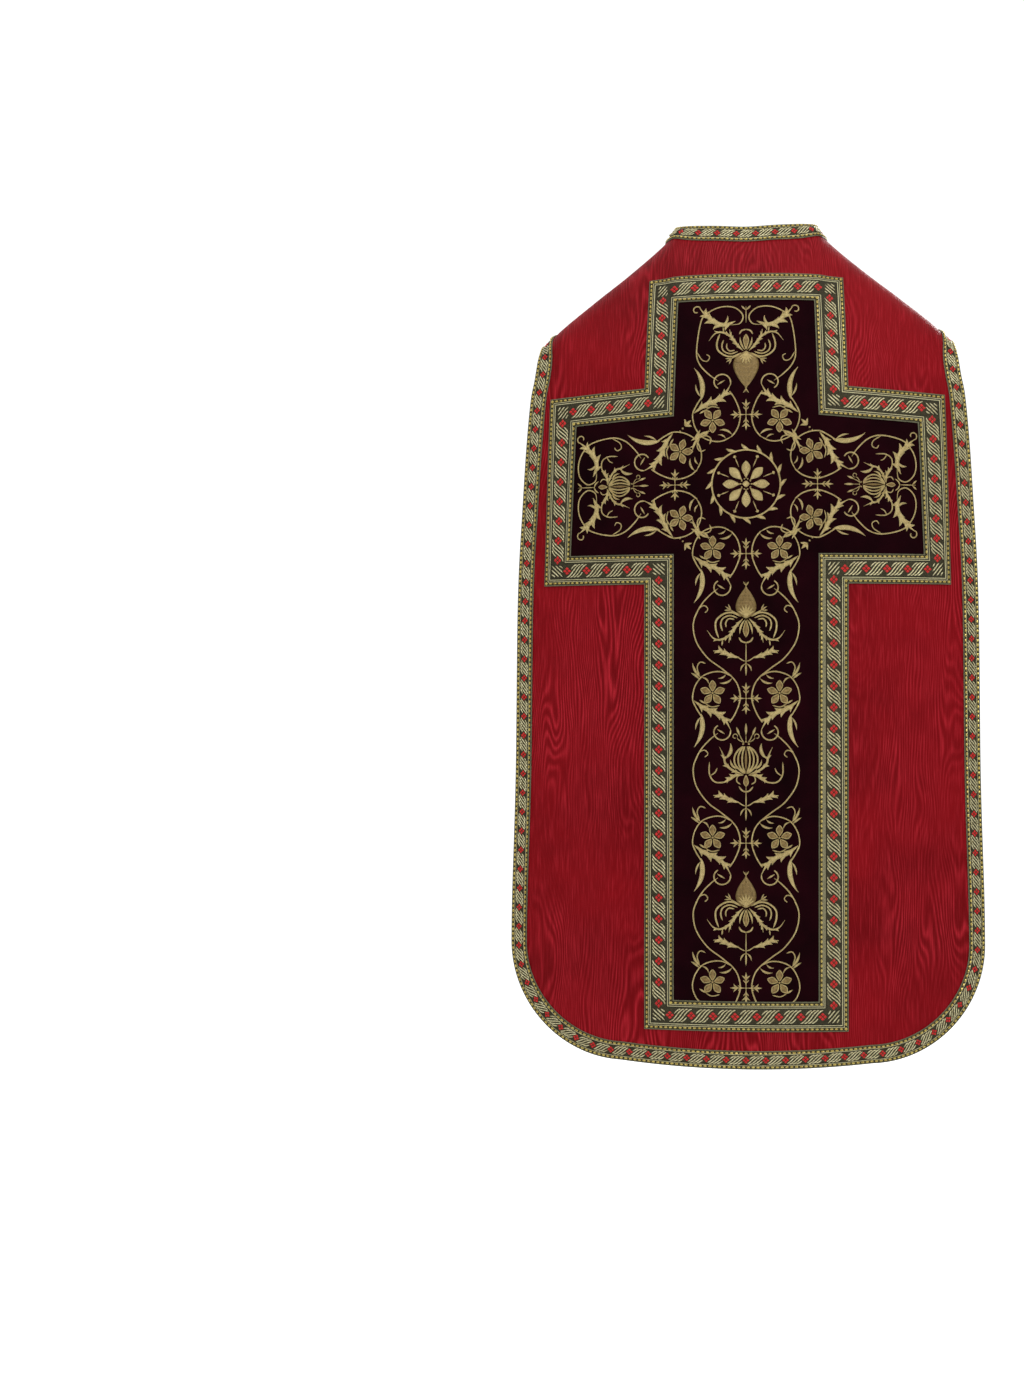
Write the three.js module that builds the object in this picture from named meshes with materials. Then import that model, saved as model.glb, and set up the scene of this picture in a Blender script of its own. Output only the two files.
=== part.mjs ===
// A roman chasuble as it hangs over the shoulders: a wide back, a waisted front and two yokes.
// +Z is up, the front faces -Y, and z = 0 is where the neck trim crosses the shoulder line.
// Each sheet of cloth is laid out flat, cut into triangles once, and bent over the shoulders.
// Every trim on a sheet uses that sheet's own points, moved out, so that nothing crosses.

import * as THREE from 'three';

// Wall thicknesses and gaps, in millimetres
const CLOTH = 2.0;
const LINING = 1.0;
const VELVET = 1.0;
const GALLOON = 1.2;
const GAP = 0.3;

// Trim widths
const NARROW = 24;
const WIDE = 39;

// Back: neckline, cross and hem, as heights below the neck corner and distances from the centre
// armDroop: how much lower the top of a cross arm is at its end, where it turns over the shoulder
const NECK_SIDE = 92;
const NECK_DIP = 59;
const CROSS = {
  half: 132.5, topTaper: 5, arm: 266, armFlare: 8, top: 50, armTop: 207, armDroop: 8, armBottom: 464, foot: 1043,
};
const BACK_HEM = { side: 312, height: -937, corner: 150, drop: 148, sag: 7 };

// Front: neckline, chest band, column and hem
const CHEST_TOP = -178;
const NECK_FOOT = 36;
const COLUMN_HALF = 131;
const FRONT_HEM = { side: 281, height: -850, corner: 95, drop: 94, sag: 6 };

// How far apart points lie along curved lines, along straight lines and inside a sheet
const CURVE_STEP = 31;
const LINE_STEP = 48;
const GRID_STEP = 52;
const RIDGE_ROWS = [11, 22, 34, 47, 64];
const RIDGE_STEP = 30;

// The body's roundness from side to side, as the radius of its back and front
const SIDE_RADIUS = 600;

// Sections across the shoulders. side: distance from the centre. ridge: height of the shoulder
// line. bend: radius of the cloth's fold over the shoulder. back, front: how steeply the cloth
// leaves the fold, in degrees from level.
const SECTIONS = [
  { side: 0, ridge: 44, bend: 48, back: 62, front: 60 },
  { side: 45, ridge: 40, bend: 48, back: 62, front: 60 },
  { side: 92, ridge: 19, bend: 48, back: 62, front: 60 },
  { side: 107, ridge: 0, bend: 48, back: 62, front: 60 },
  { side: 156, ridge: -42, bend: 47, back: 63, front: 61 },
  { side: 205, ridge: -80, bend: 45, back: 65, front: 63 },
  { side: 258, ridge: -124, bend: 40, back: 68, front: 66 },
  { side: 300, ridge: -172, bend: 32, back: 70, front: 69 },
  { side: 340, ridge: -220, bend: 20, back: 72, front: 72 },
];

// The side edges as worn. side: distance from the centre, height: below the neck corner
const SHOULDER_TIP = 273;
const BACK_SIDE = [
  { side: 281, height: -184 },
  { side: 287, height: -224 },
  { side: 296, height: -352 },
  { side: 303, height: -483 },
  { side: 306, height: -712 },
  { side: 311, height: -872 },
];
const FRONT_SIDE = [
  { side: 250, height: -146 },
  { side: 220, height: -170 },
  { side: 198, height: -222 },
  { side: 191, height: -285 },
  { side: 200, height: -362 },
  { side: 228, height: -470 },
  { side: 258, height: -585 },
  { side: 275, height: -710 },
];

// The two sheets. depth: how far the hanging cloth stands from the shoulder line at the centre
const BACK = { outward: 1, depth: 125, slope: 'back' };
const FRONT = { outward: -1, depth: 118, slope: 'front' };

// Reads one column of the section table at a distance from the centre, as a smooth curve
function readSection(column, side) {
  const last = SECTIONS.length - 1;
  let row = 0;
  while (row < last - 1 && side > SECTIONS[row + 1].side) row += 1;
  const slopeAt = (k) => {
    if (k === 0) return 0;
    const before = SECTIONS[k - 1];
    const after = SECTIONS[Math.min(k + 1, last)];
    return (after[column] - before[column]) / (after.side - before.side);
  };
  const near = SECTIONS[row];
  const far = SECTIONS[row + 1];
  const span = far.side - near.side;
  const u = (side - near.side) / span;
  const rise = u * u * (3 - 2 * u);
  const leave = span * slopeAt(row) * u * (1 - u) * (1 - u);
  const arrive = span * slopeAt(row + 1) * u * u * (u - 1);
  return near[column] + (far[column] - near[column]) * rise + leave + arrive;
}

// The curve of the cloth at one distance from the centre: a fold, a long gentle curve, a drop.
// slack is how much longer the curve is than the height that it covers.
function sectionCurve(sheet, side) {
  const ridge = readSection('ridge', side);
  const bend = readSection('bend', side);
  const lean = THREE.MathUtils.degToRad(readSection(sheet.slope, side));
  const depth = sheet.depth - (side * side) / (2 * SIDE_RADIUS);
  const gentle = (depth - bend * Math.sin(lean)) / (1 - Math.sin(lean));
  const foldLength = bend * lean;
  const gentleLength = gentle * (Math.PI / 2 - lean);
  const height = bend * (1 - Math.cos(lean)) + gentle * Math.cos(lean);
  const slack = foldLength + gentleLength - height;
  return { ridge, bend, lean, depth, gentle, foldLength, gentleLength, height, slack };
}

// Flat cloth is wider than it looks when worn, because it curves round the body
const cutWidth = (worn) => worn + worn ** 3 / (6 * SIDE_RADIUS ** 2);

function wornSide(cut) {
  let worn = cut;
  for (let pass = 0; pass < 6; pass += 1) {
    worn -= (cutWidth(worn) - cut) / (1 + worn ** 2 / (2 * SIDE_RADIUS ** 2));
  }
  return worn;
}

// Where a point of the flat sheet lies when worn. flat.x runs sideways and flat.y runs down.
function wornPoint(sheet, flat) {
  const x = wornSide(flat.x);
  const curve = sectionCurve(sheet, Math.abs(x));
  const along = flat.y + curve.ridge + curve.slack;
  let outward = curve.depth;
  let down = along - curve.slack;
  if (along < curve.foldLength) {
    const angle = along / curve.bend;
    outward = curve.bend * Math.sin(angle);
    down = curve.bend * (1 - Math.cos(angle));
  } else if (along < curve.foldLength + curve.gentleLength) {
    const angle = curve.lean + (along - curve.foldLength) / curve.gentle;
    outward = curve.bend * Math.sin(curve.lean) + curve.gentle * (Math.sin(angle) - Math.sin(curve.lean));
    down = curve.bend * (1 - Math.cos(curve.lean)) + curve.gentle * (Math.cos(curve.lean) - Math.cos(angle));
  }
  return new THREE.Vector3(x, sheet.outward * outward, curve.ridge - down);
}

// How the worn cloth runs at a flat point: one flat millimetre across, one down, and the face
function clothFrame(sheet, flat) {
  const reach = 0.25;
  const step = (dx, dy) => wornPoint(sheet, new THREE.Vector2(flat.x + dx, flat.y + dy));
  const across = step(reach, 0).sub(step(-reach, 0)).divideScalar(2 * reach);
  const down = step(0, reach).sub(step(0, -reach)).divideScalar(2 * reach);
  const turn = new THREE.Vector3().crossVectors(across, down).normalize();
  return { across, down, turn };
}

// A worn point lifted off the face of its sheet
function liftedPoint(sheet, flat, lift) {
  const { turn } = clothFrame(sheet, flat);
  return wornPoint(sheet, flat).addScaledVector(turn, sheet.outward * lift);
}

// Moves a flat point by a true distance over the worn cloth, square to a flat heading
function moveSquare(sheet, flat, heading, distance) {
  const parts = 3;
  const moved = flat.clone();
  for (let part = 0; part < parts; part += 1) {
    const { across, down, turn } = clothFrame(sheet, moved);
    const worn = across.clone().multiplyScalar(heading.x).addScaledVector(down, heading.y);
    const square = new THREE.Vector3().crossVectors(turn, worn).normalize().multiplyScalar(distance / parts);
    const aa = across.dot(across);
    const ad = across.dot(down);
    const dd = down.dot(down);
    const sa = square.dot(across);
    const sd = square.dot(down);
    const area = aa * dd - ad * ad;
    moved.x += (sa * dd - sd * ad) / area;
    moved.y += (sd * aa - sa * ad) / area;
  }
  return moved;
}

// Flat points from worn measurements
function onRidge(sheet, side, past = 0) {
  const curve = sectionCurve(sheet, Math.abs(side));
  return new THREE.Vector2(Math.sign(side) * cutWidth(Math.abs(side)), past - curve.ridge - curve.slack);
}

function atHeight(sheet, side, height) {
  const flat = onRidge(sheet, side);
  let step = 1024;
  while (step > 0.01) {
    const lower = new THREE.Vector2(flat.x, flat.y + step);
    if (wornPoint(sheet, lower).z > height) flat.y = lower.y;
    step /= 2;
  }
  return flat;
}

const otherSide = (line) => line.map((p) => new THREE.Vector2(-p.x, p.y));
const mirrored = (line) => otherSide(line).reverse();

// Points along a flat line of straight stretches
function alongLine(corners, step) {
  const line = [corners[0]];
  for (let k = 1; k < corners.length; k += 1) {
    const from = corners[k - 1];
    const to = corners[k];
    const count = Math.max(1, Math.round(from.distanceTo(to) / step));
    for (let n = 1; n <= count; n += 1) line.push(from.clone().lerp(to, n / count));
  }
  return line;
}

// Points along a smooth flat curve
function alongCurve(points, step) {
  const curve = new THREE.SplineCurve(points);
  return curve.getSpacedPoints(Math.round(curve.getLength() / step));
}

// A line at a true distance beside another, lengthened a little at both ends so that it crosses
// the edge of the sheet
function lineBeside(sheet, line, distance) {
  const beside = line.map((p, k) => {
    const before = line[Math.max(k - 1, 0)];
    const after = line[Math.min(k + 1, line.length - 1)];
    return moveSquare(sheet, p, after.clone().sub(before), distance);
  });
  const overrun = 20;
  const lengthen = (end, inner) => end.clone().add(end.clone().sub(inner).setLength(overrun));
  const first = lengthen(beside[0], beside[1]);
  const last = lengthen(beside.at(-1), beside.at(-2));
  return [first, ...beside, last];
}

// The side edge, the rounded corner and half of the hem, from the shoulder tip to the centre
function edgeHalf(sheet, rows, hem) {
  const cornerCentre = { side: hem.side - hem.corner, height: hem.height };
  const side = [
    onRidge(sheet, SHOULDER_TIP),
    ...rows.map((row) => atHeight(sheet, row.side, row.height)),
    atHeight(sheet, hem.side, hem.height),
  ];
  const cornerSteps = Math.round(((Math.PI / 2) * hem.corner) / CURVE_STEP);
  const corner = [];
  for (let k = 1; k <= cornerSteps; k += 1) {
    const angle = (k / cornerSteps) * (Math.PI / 2);
    const across = cornerCentre.side + hem.corner * Math.cos(angle);
    corner.push(atHeight(sheet, across, cornerCentre.height - hem.drop * Math.sin(angle)));
  }
  const hemSteps = Math.round(cornerCentre.side / LINE_STEP);
  const bottom = [];
  for (let k = 1; k <= hemSteps; k += 1) {
    const across = 1 - k / hemSteps;
    const height = hem.height - hem.drop - hem.sag * (1 - across * across);
    bottom.push(atHeight(sheet, cornerCentre.side * across, height));
  }
  return [...alongCurve(side, CURVE_STEP), ...corner, ...bottom];
}

function edgeLine(sheet, rows, hem) {
  const half = edgeHalf(sheet, rows, hem);
  return [...half, ...mirrored(half).slice(1)];
}

// The shoulder line of a sheet on its +X side, from the neck corner to the tip
function ridgeLine(sheet) {
  const line = [];
  const count = Math.round((SHOULDER_TIP - NECK_SIDE) / RIDGE_STEP);
  for (let k = 0; k <= count; k += 1) {
    line.push(onRidge(sheet, THREE.MathUtils.lerp(NECK_SIDE, SHOULDER_TIP, k / count)));
  }
  return line;
}

// Extra points that round the fold over the shoulder, inside a sheet
function ridgePoints(sheet) {
  const points = [];
  RIDGE_ROWS.forEach((past, row) => {
    const start = RIDGE_STEP * (row % 2 ? 0.5 : 0);
    for (let side = start; side < SHOULDER_TIP; side += RIDGE_STEP) {
      points.push(onRidge(sheet, Math.max(side, 1), past));
      points.push(onRidge(sheet, Math.min(-side, -1), past));
    }
  });
  return points;
}

function gridPoints(widest, lowest) {
  const points = [];
  for (let row = 0; row * GRID_STEP < lowest; row += 1) {
    const start = row % 2 ? GRID_STEP / 2 : 0;
    for (let x = start; x < widest; x += GRID_STEP) {
      points.push(new THREE.Vector2(x, row * GRID_STEP));
      if (x > 0) points.push(new THREE.Vector2(-x, row * GRID_STEP));
    }
  }
  return points;
}

function isInside(polygon, point) {
  let inside = false;
  polygon.forEach((a, k) => {
    const b = polygon[(k + 1) % polygon.length];
    const crosses = a.y > point.y !== b.y > point.y;
    if (crosses && point.x < ((b.x - a.x) * (point.y - a.y)) / (b.y - a.y) + a.x) inside = !inside;
  });
  return inside;
}

function distanceToSegment(point, a, b) {
  const run = b.clone().sub(a);
  const u = THREE.MathUtils.clamp(point.clone().sub(a).dot(run) / run.lengthSq(), 0, 1);
  return point.distanceTo(a.clone().addScaledVector(run, u));
}

// Cuts a flat sheet into triangles whose sides follow every given line
class Cutting {
  constructor() {
    this.points = [];
    this.tests = [];
    this.triangles = [];
    const far = 20000;
    this.addPoint(new THREE.Vector2(-far, -far));
    this.addPoint(new THREE.Vector2(far, -far));
    this.addPoint(new THREE.Vector2(0, far));
    this.triangles.push([0, 1, 2]);
  }

  // Stores a point, or finds the one already there. The test copy is moved by a hair, so that
  // no four points lie on one circle.
  addPoint(point) {
    const same = 1.2;
    const found = this.points.findIndex((p) => p.distanceTo(point) < same);
    if (found >= 0) return found;
    const index = this.points.length;
    const hair = 0.0002;
    this.points.push(point);
    this.tests.push(new THREE.Vector2(point.x + hair * Math.sin(index * 12.9), point.y + hair * Math.sin(index * 78.2)));
    return index;
  }

  circleHolds([i, j, k], p) {
    const a = this.tests[i].clone().sub(p);
    const b = this.tests[j].clone().sub(p);
    const c = this.tests[k].clone().sub(p);
    const det = a.lengthSq() * b.cross(c) + b.lengthSq() * c.cross(a) + c.lengthSq() * a.cross(b);
    return det > 0;
  }

  // Puts one stored point into the triangles: those whose circle holds it give way to a fan
  insert(index) {
    const p = this.tests[index];
    const broken = this.triangles.filter((t) => this.circleHolds(t, p));
    this.triangles = this.triangles.filter((t) => !broken.includes(t));
    const edges = new Map();
    broken.forEach(([i, j, k]) => {
      [[i, j], [j, k], [k, i]].forEach(([a, b]) => {
        if (!edges.delete(`${b},${a}`)) edges.set(`${a},${b}`, [a, b]);
      });
    });
    edges.forEach(([a, b]) => this.triangles.push([a, b, index]));
  }

  add(point) {
    const before = this.points.length;
    const index = this.addPoint(point);
    if (index === before) this.insert(index);
    return index;
  }

  // Halves each stretch that no triangle has as a side, until all of them are sides
  followLines(segments) {
    let missing = segments;
    while (missing.length > 0) {
      const sides = new Set(this.triangles.flatMap(([i, j, k]) => [`${i},${j}`, `${j},${k}`, `${k},${i}`]));
      const halves = [];
      missing.forEach(([a, b]) => {
        if (a === b || sides.has(`${a},${b}`) || sides.has(`${b},${a}`)) return;
        const middle = this.add(this.points[a].clone().lerp(this.points[b], 0.5));
        if (middle !== a && middle !== b) halves.push([a, middle], [middle, b]);
      });
      missing = halves;
    }
  }
}

// Breaks lines into stretches, with a shared point wherever two of them cross
function crossedSegments(lines) {
  const segments = lines.flatMap((line) => line.slice(1).map((p, k) => ({ a: line[k], b: p, cuts: [] })));
  segments.forEach((one, n) => {
    segments.slice(n + 1).forEach((two) => {
      const r = one.b.clone().sub(one.a);
      const s = two.b.clone().sub(two.a);
      const gap = two.a.clone().sub(one.a);
      const area = r.cross(s);
      if (Math.abs(area) < 1e-9) return;
      const t = gap.cross(s) / area;
      const u = gap.cross(r) / area;
      const inner = (value) => value > 0.001 && value < 0.999;
      if (!inner(t) && !inner(u)) return;
      if (t < -0.001 || t > 1.001 || u < -0.001 || u > 1.001) return;
      one.cuts.push(t);
      two.cuts.push(u);
    });
  });
  return segments.map(({ a, b, cuts }) => {
    const stops = [0, ...cuts.sort((p, q) => p - q), 1];
    return stops.map((stop) => a.clone().lerp(b, THREE.MathUtils.clamp(stop, 0, 1)));
  });
}

// Puts points that lie on a straight stretch between two shoulder points back on the shoulder line
function settleOnRidge(sheet, points) {
  const near = 2.5;
  points.forEach((p) => {
    const ridge = onRidge(sheet, wornSide(p.x));
    if (Math.abs(p.y - ridge.y) < near) p.y = ridge.y;
  });
}

// Triangles of a sheet, inside its outline, following all its lines
function cutSheet(sheet, outline, lines, fillers) {
  const cutting = new Cutting();
  const stretches = crossedSegments([[...outline, outline[0]], ...lines]);
  const segments = [];
  stretches.forEach((stops) => {
    const indices = stops.map((p) => cutting.add(p));
    for (let k = 1; k < indices.length; k += 1) segments.push([indices[k - 1], indices[k]]);
  });
  const clearance = 0.38;
  const free = fillers.filter(({ point, step }) =>
    isInside(outline, point) &&
    segments.every(([a, b]) =>
      a === b || distanceToSegment(point, cutting.points[a], cutting.points[b]) > clearance * step));
  const placed = [];
  free.forEach(({ point, step }) => {
    if (placed.every((p) => p.distanceTo(point) > 0.55 * step)) {
      placed.push(point);
      cutting.add(point);
    }
  });
  cutting.followLines(segments);
  const firstOwn = 3;
  const triangles = cutting.triangles.filter((t) =>
    Math.min(...t) >= firstOwn && isInside(outline, centreOf(cutting.points, t)));
  settleOnRidge(sheet, cutting.points.slice(firstOwn));
  return { sheet, points: cutting.points, triangles };
}

function centreOf(points, [i, j, k]) {
  return points[i].clone().add(points[j]).add(points[k]).divideScalar(3);
}

// A closed wall made from some of a sheet's triangles, between two lifts off its face. Its edge
// is drawn in by half a gap, so that neighbours lie a whole gap apart.
function wall(name, cut, belongs, low, high, material) {
  const { sheet, points } = cut;
  const chosen = cut.triangles.filter((t) => belongs(centreOf(points, t)));
  const edges = new Map();
  chosen.forEach(([i, j, k]) => {
    [[i, j], [j, k], [k, i]].forEach(([a, b]) => {
      if (!edges.delete(`${b},${a}`)) edges.set(`${a},${b}`, [a, b]);
    });
  });
  const inward = new Map();
  edges.forEach(([a, b]) => {
    const run = points[b].clone().sub(points[a]).normalize();
    const square = new THREE.Vector2(-run.y, run.x);
    [a, b].forEach((index) => inward.set(index, [...(inward.get(index) ?? []), square]));
  });
  const placeFor = (index) => {
    const squares = inward.get(index);
    if (!squares) return points[index];
    const [one, two] = squares;
    const shift = one.clone().add(two).divideScalar(1 + one.dot(two));
    return points[index].clone().addScaledVector(shift, GAP / 2);
  };
  const used = [...new Set(chosen.flat())];
  const order = new Map(used.map((index, k) => [index, k]));
  const positions = [high, low].flatMap((lift) =>
    used.flatMap((index) => liftedPoint(sheet, placeFor(index), lift).toArray()));
  const under = used.length;
  const faces = [];
  const addFace = (a, b, c) => faces.push(...(sheet.outward > 0 ? [a, b, c] : [a, c, b]));
  chosen.forEach((t) => {
    const [a, b, c] = t.map((index) => order.get(index));
    addFace(a, b, c);
    addFace(a + under, c + under, b + under);
  });
  edges.forEach(([from, to]) => {
    const a = order.get(from);
    const b = order.get(to);
    addFace(b, a, a + under);
    addFace(b, a + under, b + under);
  });
  const geometry = new THREE.BufferGeometry();
  geometry.setAttribute('position', new THREE.Float32BufferAttribute(positions, 3));
  geometry.setIndex(faces);
  geometry.computeVertexNormals();
  const mesh = new THREE.Mesh(geometry, material);
  mesh.name = name;
  return mesh;
}

const withStep = (step) => (point) => ({ point, step });

function rectangle(halfWidth, top, bottom) {
  return [
    new THREE.Vector2(halfWidth, top),
    new THREE.Vector2(halfWidth, bottom),
    new THREE.Vector2(-halfWidth, bottom),
    new THREE.Vector2(-halfWidth, top),
  ];
}

// The outline of the back cross, drawn in from its outer edge by a distance
function crossOutline(drawnIn) {
  const half = CROSS.half - drawnIn;
  const arm = CROSS.arm - drawnIn;
  const corners = [
    [half - CROSS.topTaper, CROSS.top + drawnIn],
    [half, CROSS.armTop + drawnIn],
    [arm, CROSS.armTop + CROSS.armDroop + drawnIn],
    [arm + CROSS.armFlare, CROSS.armBottom - drawnIn],
    [half, CROSS.armBottom - drawnIn],
    [half, CROSS.foot - drawnIn],
  ].map(([x, y]) => new THREE.Vector2(x, y));
  return [...corners, ...mirrored(corners)];
}

// Materials
const moireSilk = new THREE.MeshStandardMaterial({ color: '#8f1222', roughness: 0.45, metalness: 0 });
const plainLining = new THREE.MeshStandardMaterial({ color: '#7c0f1b', roughness: 0.7, metalness: 0 });
const darkVelvet = new THREE.MeshStandardMaterial({ color: '#1e040b', roughness: 0.9, metalness: 0 });
const goldGalloon = new THREE.MeshStandardMaterial({ color: '#8d8558', roughness: 0.5, metalness: 0.4 });

function buildBack() {
  const edge = edgeLine(BACK, BACK_SIDE, BACK_HEM);
  const ridge = ridgeLine(BACK);
  const neckSteps = 11;
  const neck = [];
  for (let k = 0; k <= neckSteps; k += 1) {
    const angle = (k / neckSteps) * Math.PI;
    const side = NECK_SIDE * Math.cos(angle);
    neck.push(onRidge(BACK, side === 0 ? 0.01 : side, NECK_DIP * Math.sin(angle)));
  }
  // From the +X tip round the hem to the -X tip, then along the shoulders and the neck
  const outline = [...edge, ...mirrored(ridge).slice(1), ...[...neck].reverse().slice(1), ...ridge.slice(1, -1)];
  const edgeInner = lineBeside(BACK, edge, NARROW);
  const neckOuter = lineBeside(BACK, neck, -NARROW);
  const crossOuter = crossOutline(0);
  const crossInner = crossOutline(WIDE);
  const closed = (corners) => alongLine([...corners, corners[0]], LINE_STEP);
  const lines = [edgeInner, neckOuter, closed(crossOuter), closed(crossInner)];
  const fillers = [
    ...ridgePoints(BACK).map(withStep(RIDGE_STEP * 0.36)),
    ...gridPoints(cutWidth(BACK_HEM.side), -BACK_HEM.height + BACK_HEM.drop).map(withStep(GRID_STEP)),
  ];
  const cut = cutSheet(BACK, outline, lines, fillers);
  const edgeStrip = [...edge, ...[...edgeInner].reverse()];
  const neckStrip = [...neck, ...[...neckOuter].reverse()];
  const onEdge = (p) => isInside(edgeStrip, p);
  const onNeck = (p) => isInside(neckStrip, p);
  const onCross = (p) => isInside(crossOuter, p);
  const onBorder = (p) => onCross(p) && !isInside(crossInner, p);
  const overVelvet = GAP + VELVET + GAP;
  return [
    wall('back_panel', cut, () => true, -CLOTH, 0, moireSilk),
    wall('back_lining', cut, () => true, -CLOTH - GAP - LINING, -CLOTH - GAP, plainLining),
    wall('back_cross', cut, onCross, GAP, GAP + VELVET, darkVelvet),
    wall('back_cross_galloon', cut, onBorder, overVelvet, overVelvet + GALLOON, goldGalloon),
    wall('back_edge_galloon', cut, onEdge, GAP, GAP + GALLOON, goldGalloon),
    wall('back_neck_galloon', cut, onNeck, GAP, GAP + GALLOON, goldGalloon),
  ];
}

function buildFront() {
  const edge = edgeLine(FRONT, FRONT_SIDE, FRONT_HEM);
  const ridge = ridgeLine(FRONT);
  const chestTop = atHeight(FRONT, NECK_FOOT, CHEST_TOP).y;
  const chestFoot = chestTop + WIDE;
  const neckFoot = new THREE.Vector2(NECK_FOOT, chestTop);
  const neck = alongLine([ridge[0], neckFoot], CURVE_STEP);
  const across = alongLine([neckFoot, new THREE.Vector2(-NECK_FOOT, chestTop)], LINE_STEP);
  // From the +X tip round the hem to the -X tip, then along the shoulders and the neckline
  const outline = [
    ...edge,
    ...mirrored(ridge).slice(1),
    ...otherSide(neck).slice(1),
    ...[...across].reverse().slice(1),
    ...[...neck].reverse().slice(1),
    ...ridge.slice(1, -1),
  ];
  const widest = cutWidth(FRONT_HEM.side);
  const lowest = -FRONT_HEM.height + FRONT_HEM.drop;
  const level = (y) => alongLine([new THREE.Vector2(widest, y), new THREE.Vector2(-widest, y)], LINE_STEP);
  const upright = (x) => alongLine([new THREE.Vector2(x, chestFoot), new THREE.Vector2(x, lowest)], LINE_STEP);
  const edgeInner = lineBeside(FRONT, edge, NARROW);
  const neckOuter = lineBeside(FRONT, neck, -NARROW);
  const columnInner = COLUMN_HALF - WIDE;
  const lines = [
    edgeInner,
    neckOuter,
    mirrored(neckOuter),
    level(chestTop),
    level(chestFoot),
    ...[COLUMN_HALF, columnInner, -columnInner, -COLUMN_HALF].map(upright),
  ];
  const fillers = [
    ...ridgePoints(FRONT).map(withStep(RIDGE_STEP * 0.36)),
    ...gridPoints(widest, lowest).map(withStep(GRID_STEP)),
  ];
  const cut = cutSheet(FRONT, outline, lines, fillers);
  const edgeStrip = [...edge, ...[...edgeInner].reverse()];
  const neckStrip = [...neck, ...[...neckOuter].reverse()];
  const neckStripMirrored = mirrored(neckStrip);
  const onEdge = (p) => isInside(edgeStrip, p);
  const aboveChest = (p) => p.y < chestTop;
  const belowChest = (p) => p.y > chestFoot;
  const onNeckLeft = (p) => aboveChest(p) && isInside(neckStrip, p);
  const onNeckRight = (p) => aboveChest(p) && isInside(neckStripMirrored, p);
  const onChest = (p) => !aboveChest(p) && !belowChest(p) && !onEdge(p);
  const onColumn = (p) => belowChest(p) && Math.abs(p.x) < COLUMN_HALF && !onEdge(p);
  const onBorder = (p) => onColumn(p) && Math.abs(p.x) > columnInner;
  const overVelvet = GAP + VELVET + GAP;
  return [
    wall('front_panel', cut, (p) => !aboveChest(p), -CLOTH, 0, moireSilk),
    wall('yoke_left', cut, (p) => aboveChest(p) && p.x > 0, -CLOTH, 0, moireSilk),
    wall('yoke_right', cut, (p) => aboveChest(p) && p.x < 0, -CLOTH, 0, moireSilk),
    wall('front_column', cut, onColumn, GAP, GAP + VELVET, darkVelvet),
    wall('column_galloon_left', cut, (p) => onBorder(p) && p.x > 0, overVelvet, overVelvet + GALLOON, goldGalloon),
    wall('column_galloon_right', cut, (p) => onBorder(p) && p.x < 0, overVelvet, overVelvet + GALLOON, goldGalloon),
    wall('chest_galloon', cut, onChest, GAP, GAP + GALLOON, goldGalloon),
    wall('front_edge_galloon', cut, onEdge, GAP, GAP + GALLOON, goldGalloon),
    wall('neck_galloon_left', cut, onNeckLeft, GAP, GAP + GALLOON, goldGalloon),
    wall('neck_galloon_right', cut, onNeckRight, GAP, GAP + GALLOON, goldGalloon),
  ];
}

const chasuble = new THREE.Group();
chasuble.name = 'roman_chasuble';
chasuble.add(...buildBack(), ...buildFront());

export default chasuble;
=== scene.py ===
"""A roman chasuble in red watered silk, with velvet orphreys, woven galloon and gold embroidery.

Every sheet of cloth is laid out flat, in metres, with x across and y down, and then bent over the
shoulders by one smooth rule. Whatever lies on a sheet is drawn flat, bent the same way and lifted
off its face. z = 0 is where the neck trim crosses the shoulder line, and the back faces +Y.
"""

import logging
import math
from collections.abc import Callable
from dataclasses import dataclass
from enum import Enum

import bmesh
import bpy
import numpy as np
from bpy.types import Material, Node, NodeSocket, NodeTree, Object
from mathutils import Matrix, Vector, geometry


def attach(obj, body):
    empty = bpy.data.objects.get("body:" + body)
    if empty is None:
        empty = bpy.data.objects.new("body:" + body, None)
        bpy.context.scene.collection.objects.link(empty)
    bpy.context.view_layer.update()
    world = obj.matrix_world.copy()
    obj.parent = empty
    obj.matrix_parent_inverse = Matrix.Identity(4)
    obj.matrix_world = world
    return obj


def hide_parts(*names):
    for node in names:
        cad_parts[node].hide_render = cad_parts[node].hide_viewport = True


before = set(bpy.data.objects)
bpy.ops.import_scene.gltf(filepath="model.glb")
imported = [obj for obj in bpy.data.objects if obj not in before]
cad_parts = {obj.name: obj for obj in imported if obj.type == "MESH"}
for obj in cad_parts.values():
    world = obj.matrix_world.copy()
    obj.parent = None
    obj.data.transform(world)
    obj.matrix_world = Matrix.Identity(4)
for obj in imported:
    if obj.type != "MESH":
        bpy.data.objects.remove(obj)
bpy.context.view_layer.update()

Array = np.ndarray
Point = tuple[float, float]

LOG = logging.getLogger("chasuble")
MM = 0.001

# Walls and gaps
CLOTH = 2.0 * MM
LINING = 1.0 * MM
VELVET = 1.0 * MM
GALLOON = 1.2 * MM
GAP = 0.3 * MM
SEAM = GAP / 2

# Trim: the two widths, and the spacing of its points
NARROW = 24 * MM
WIDE = 39 * MM
TRIM_STEP = 3.2 * MM
NECK_STEP = 3.0 * MM

# Distances from the centre line, and heights when worn
SIDE_RADIUS = 600 * MM  # the body's roundness from side to side
SHOULDER_TIP = 273 * MM
NECK_SIDE = 92 * MM
NECK_DIP = 59 * MM
NECK_FOOT = 36 * MM
CHEST_TOP = -178 * MM
COLUMN_HALF = 131 * MM


@dataclass(frozen=True)
class Section:
    """One section across the shoulders, in millimetres and in degrees from level."""

    side: float
    ridge: float
    bend: float
    back: float
    front: float


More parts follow.
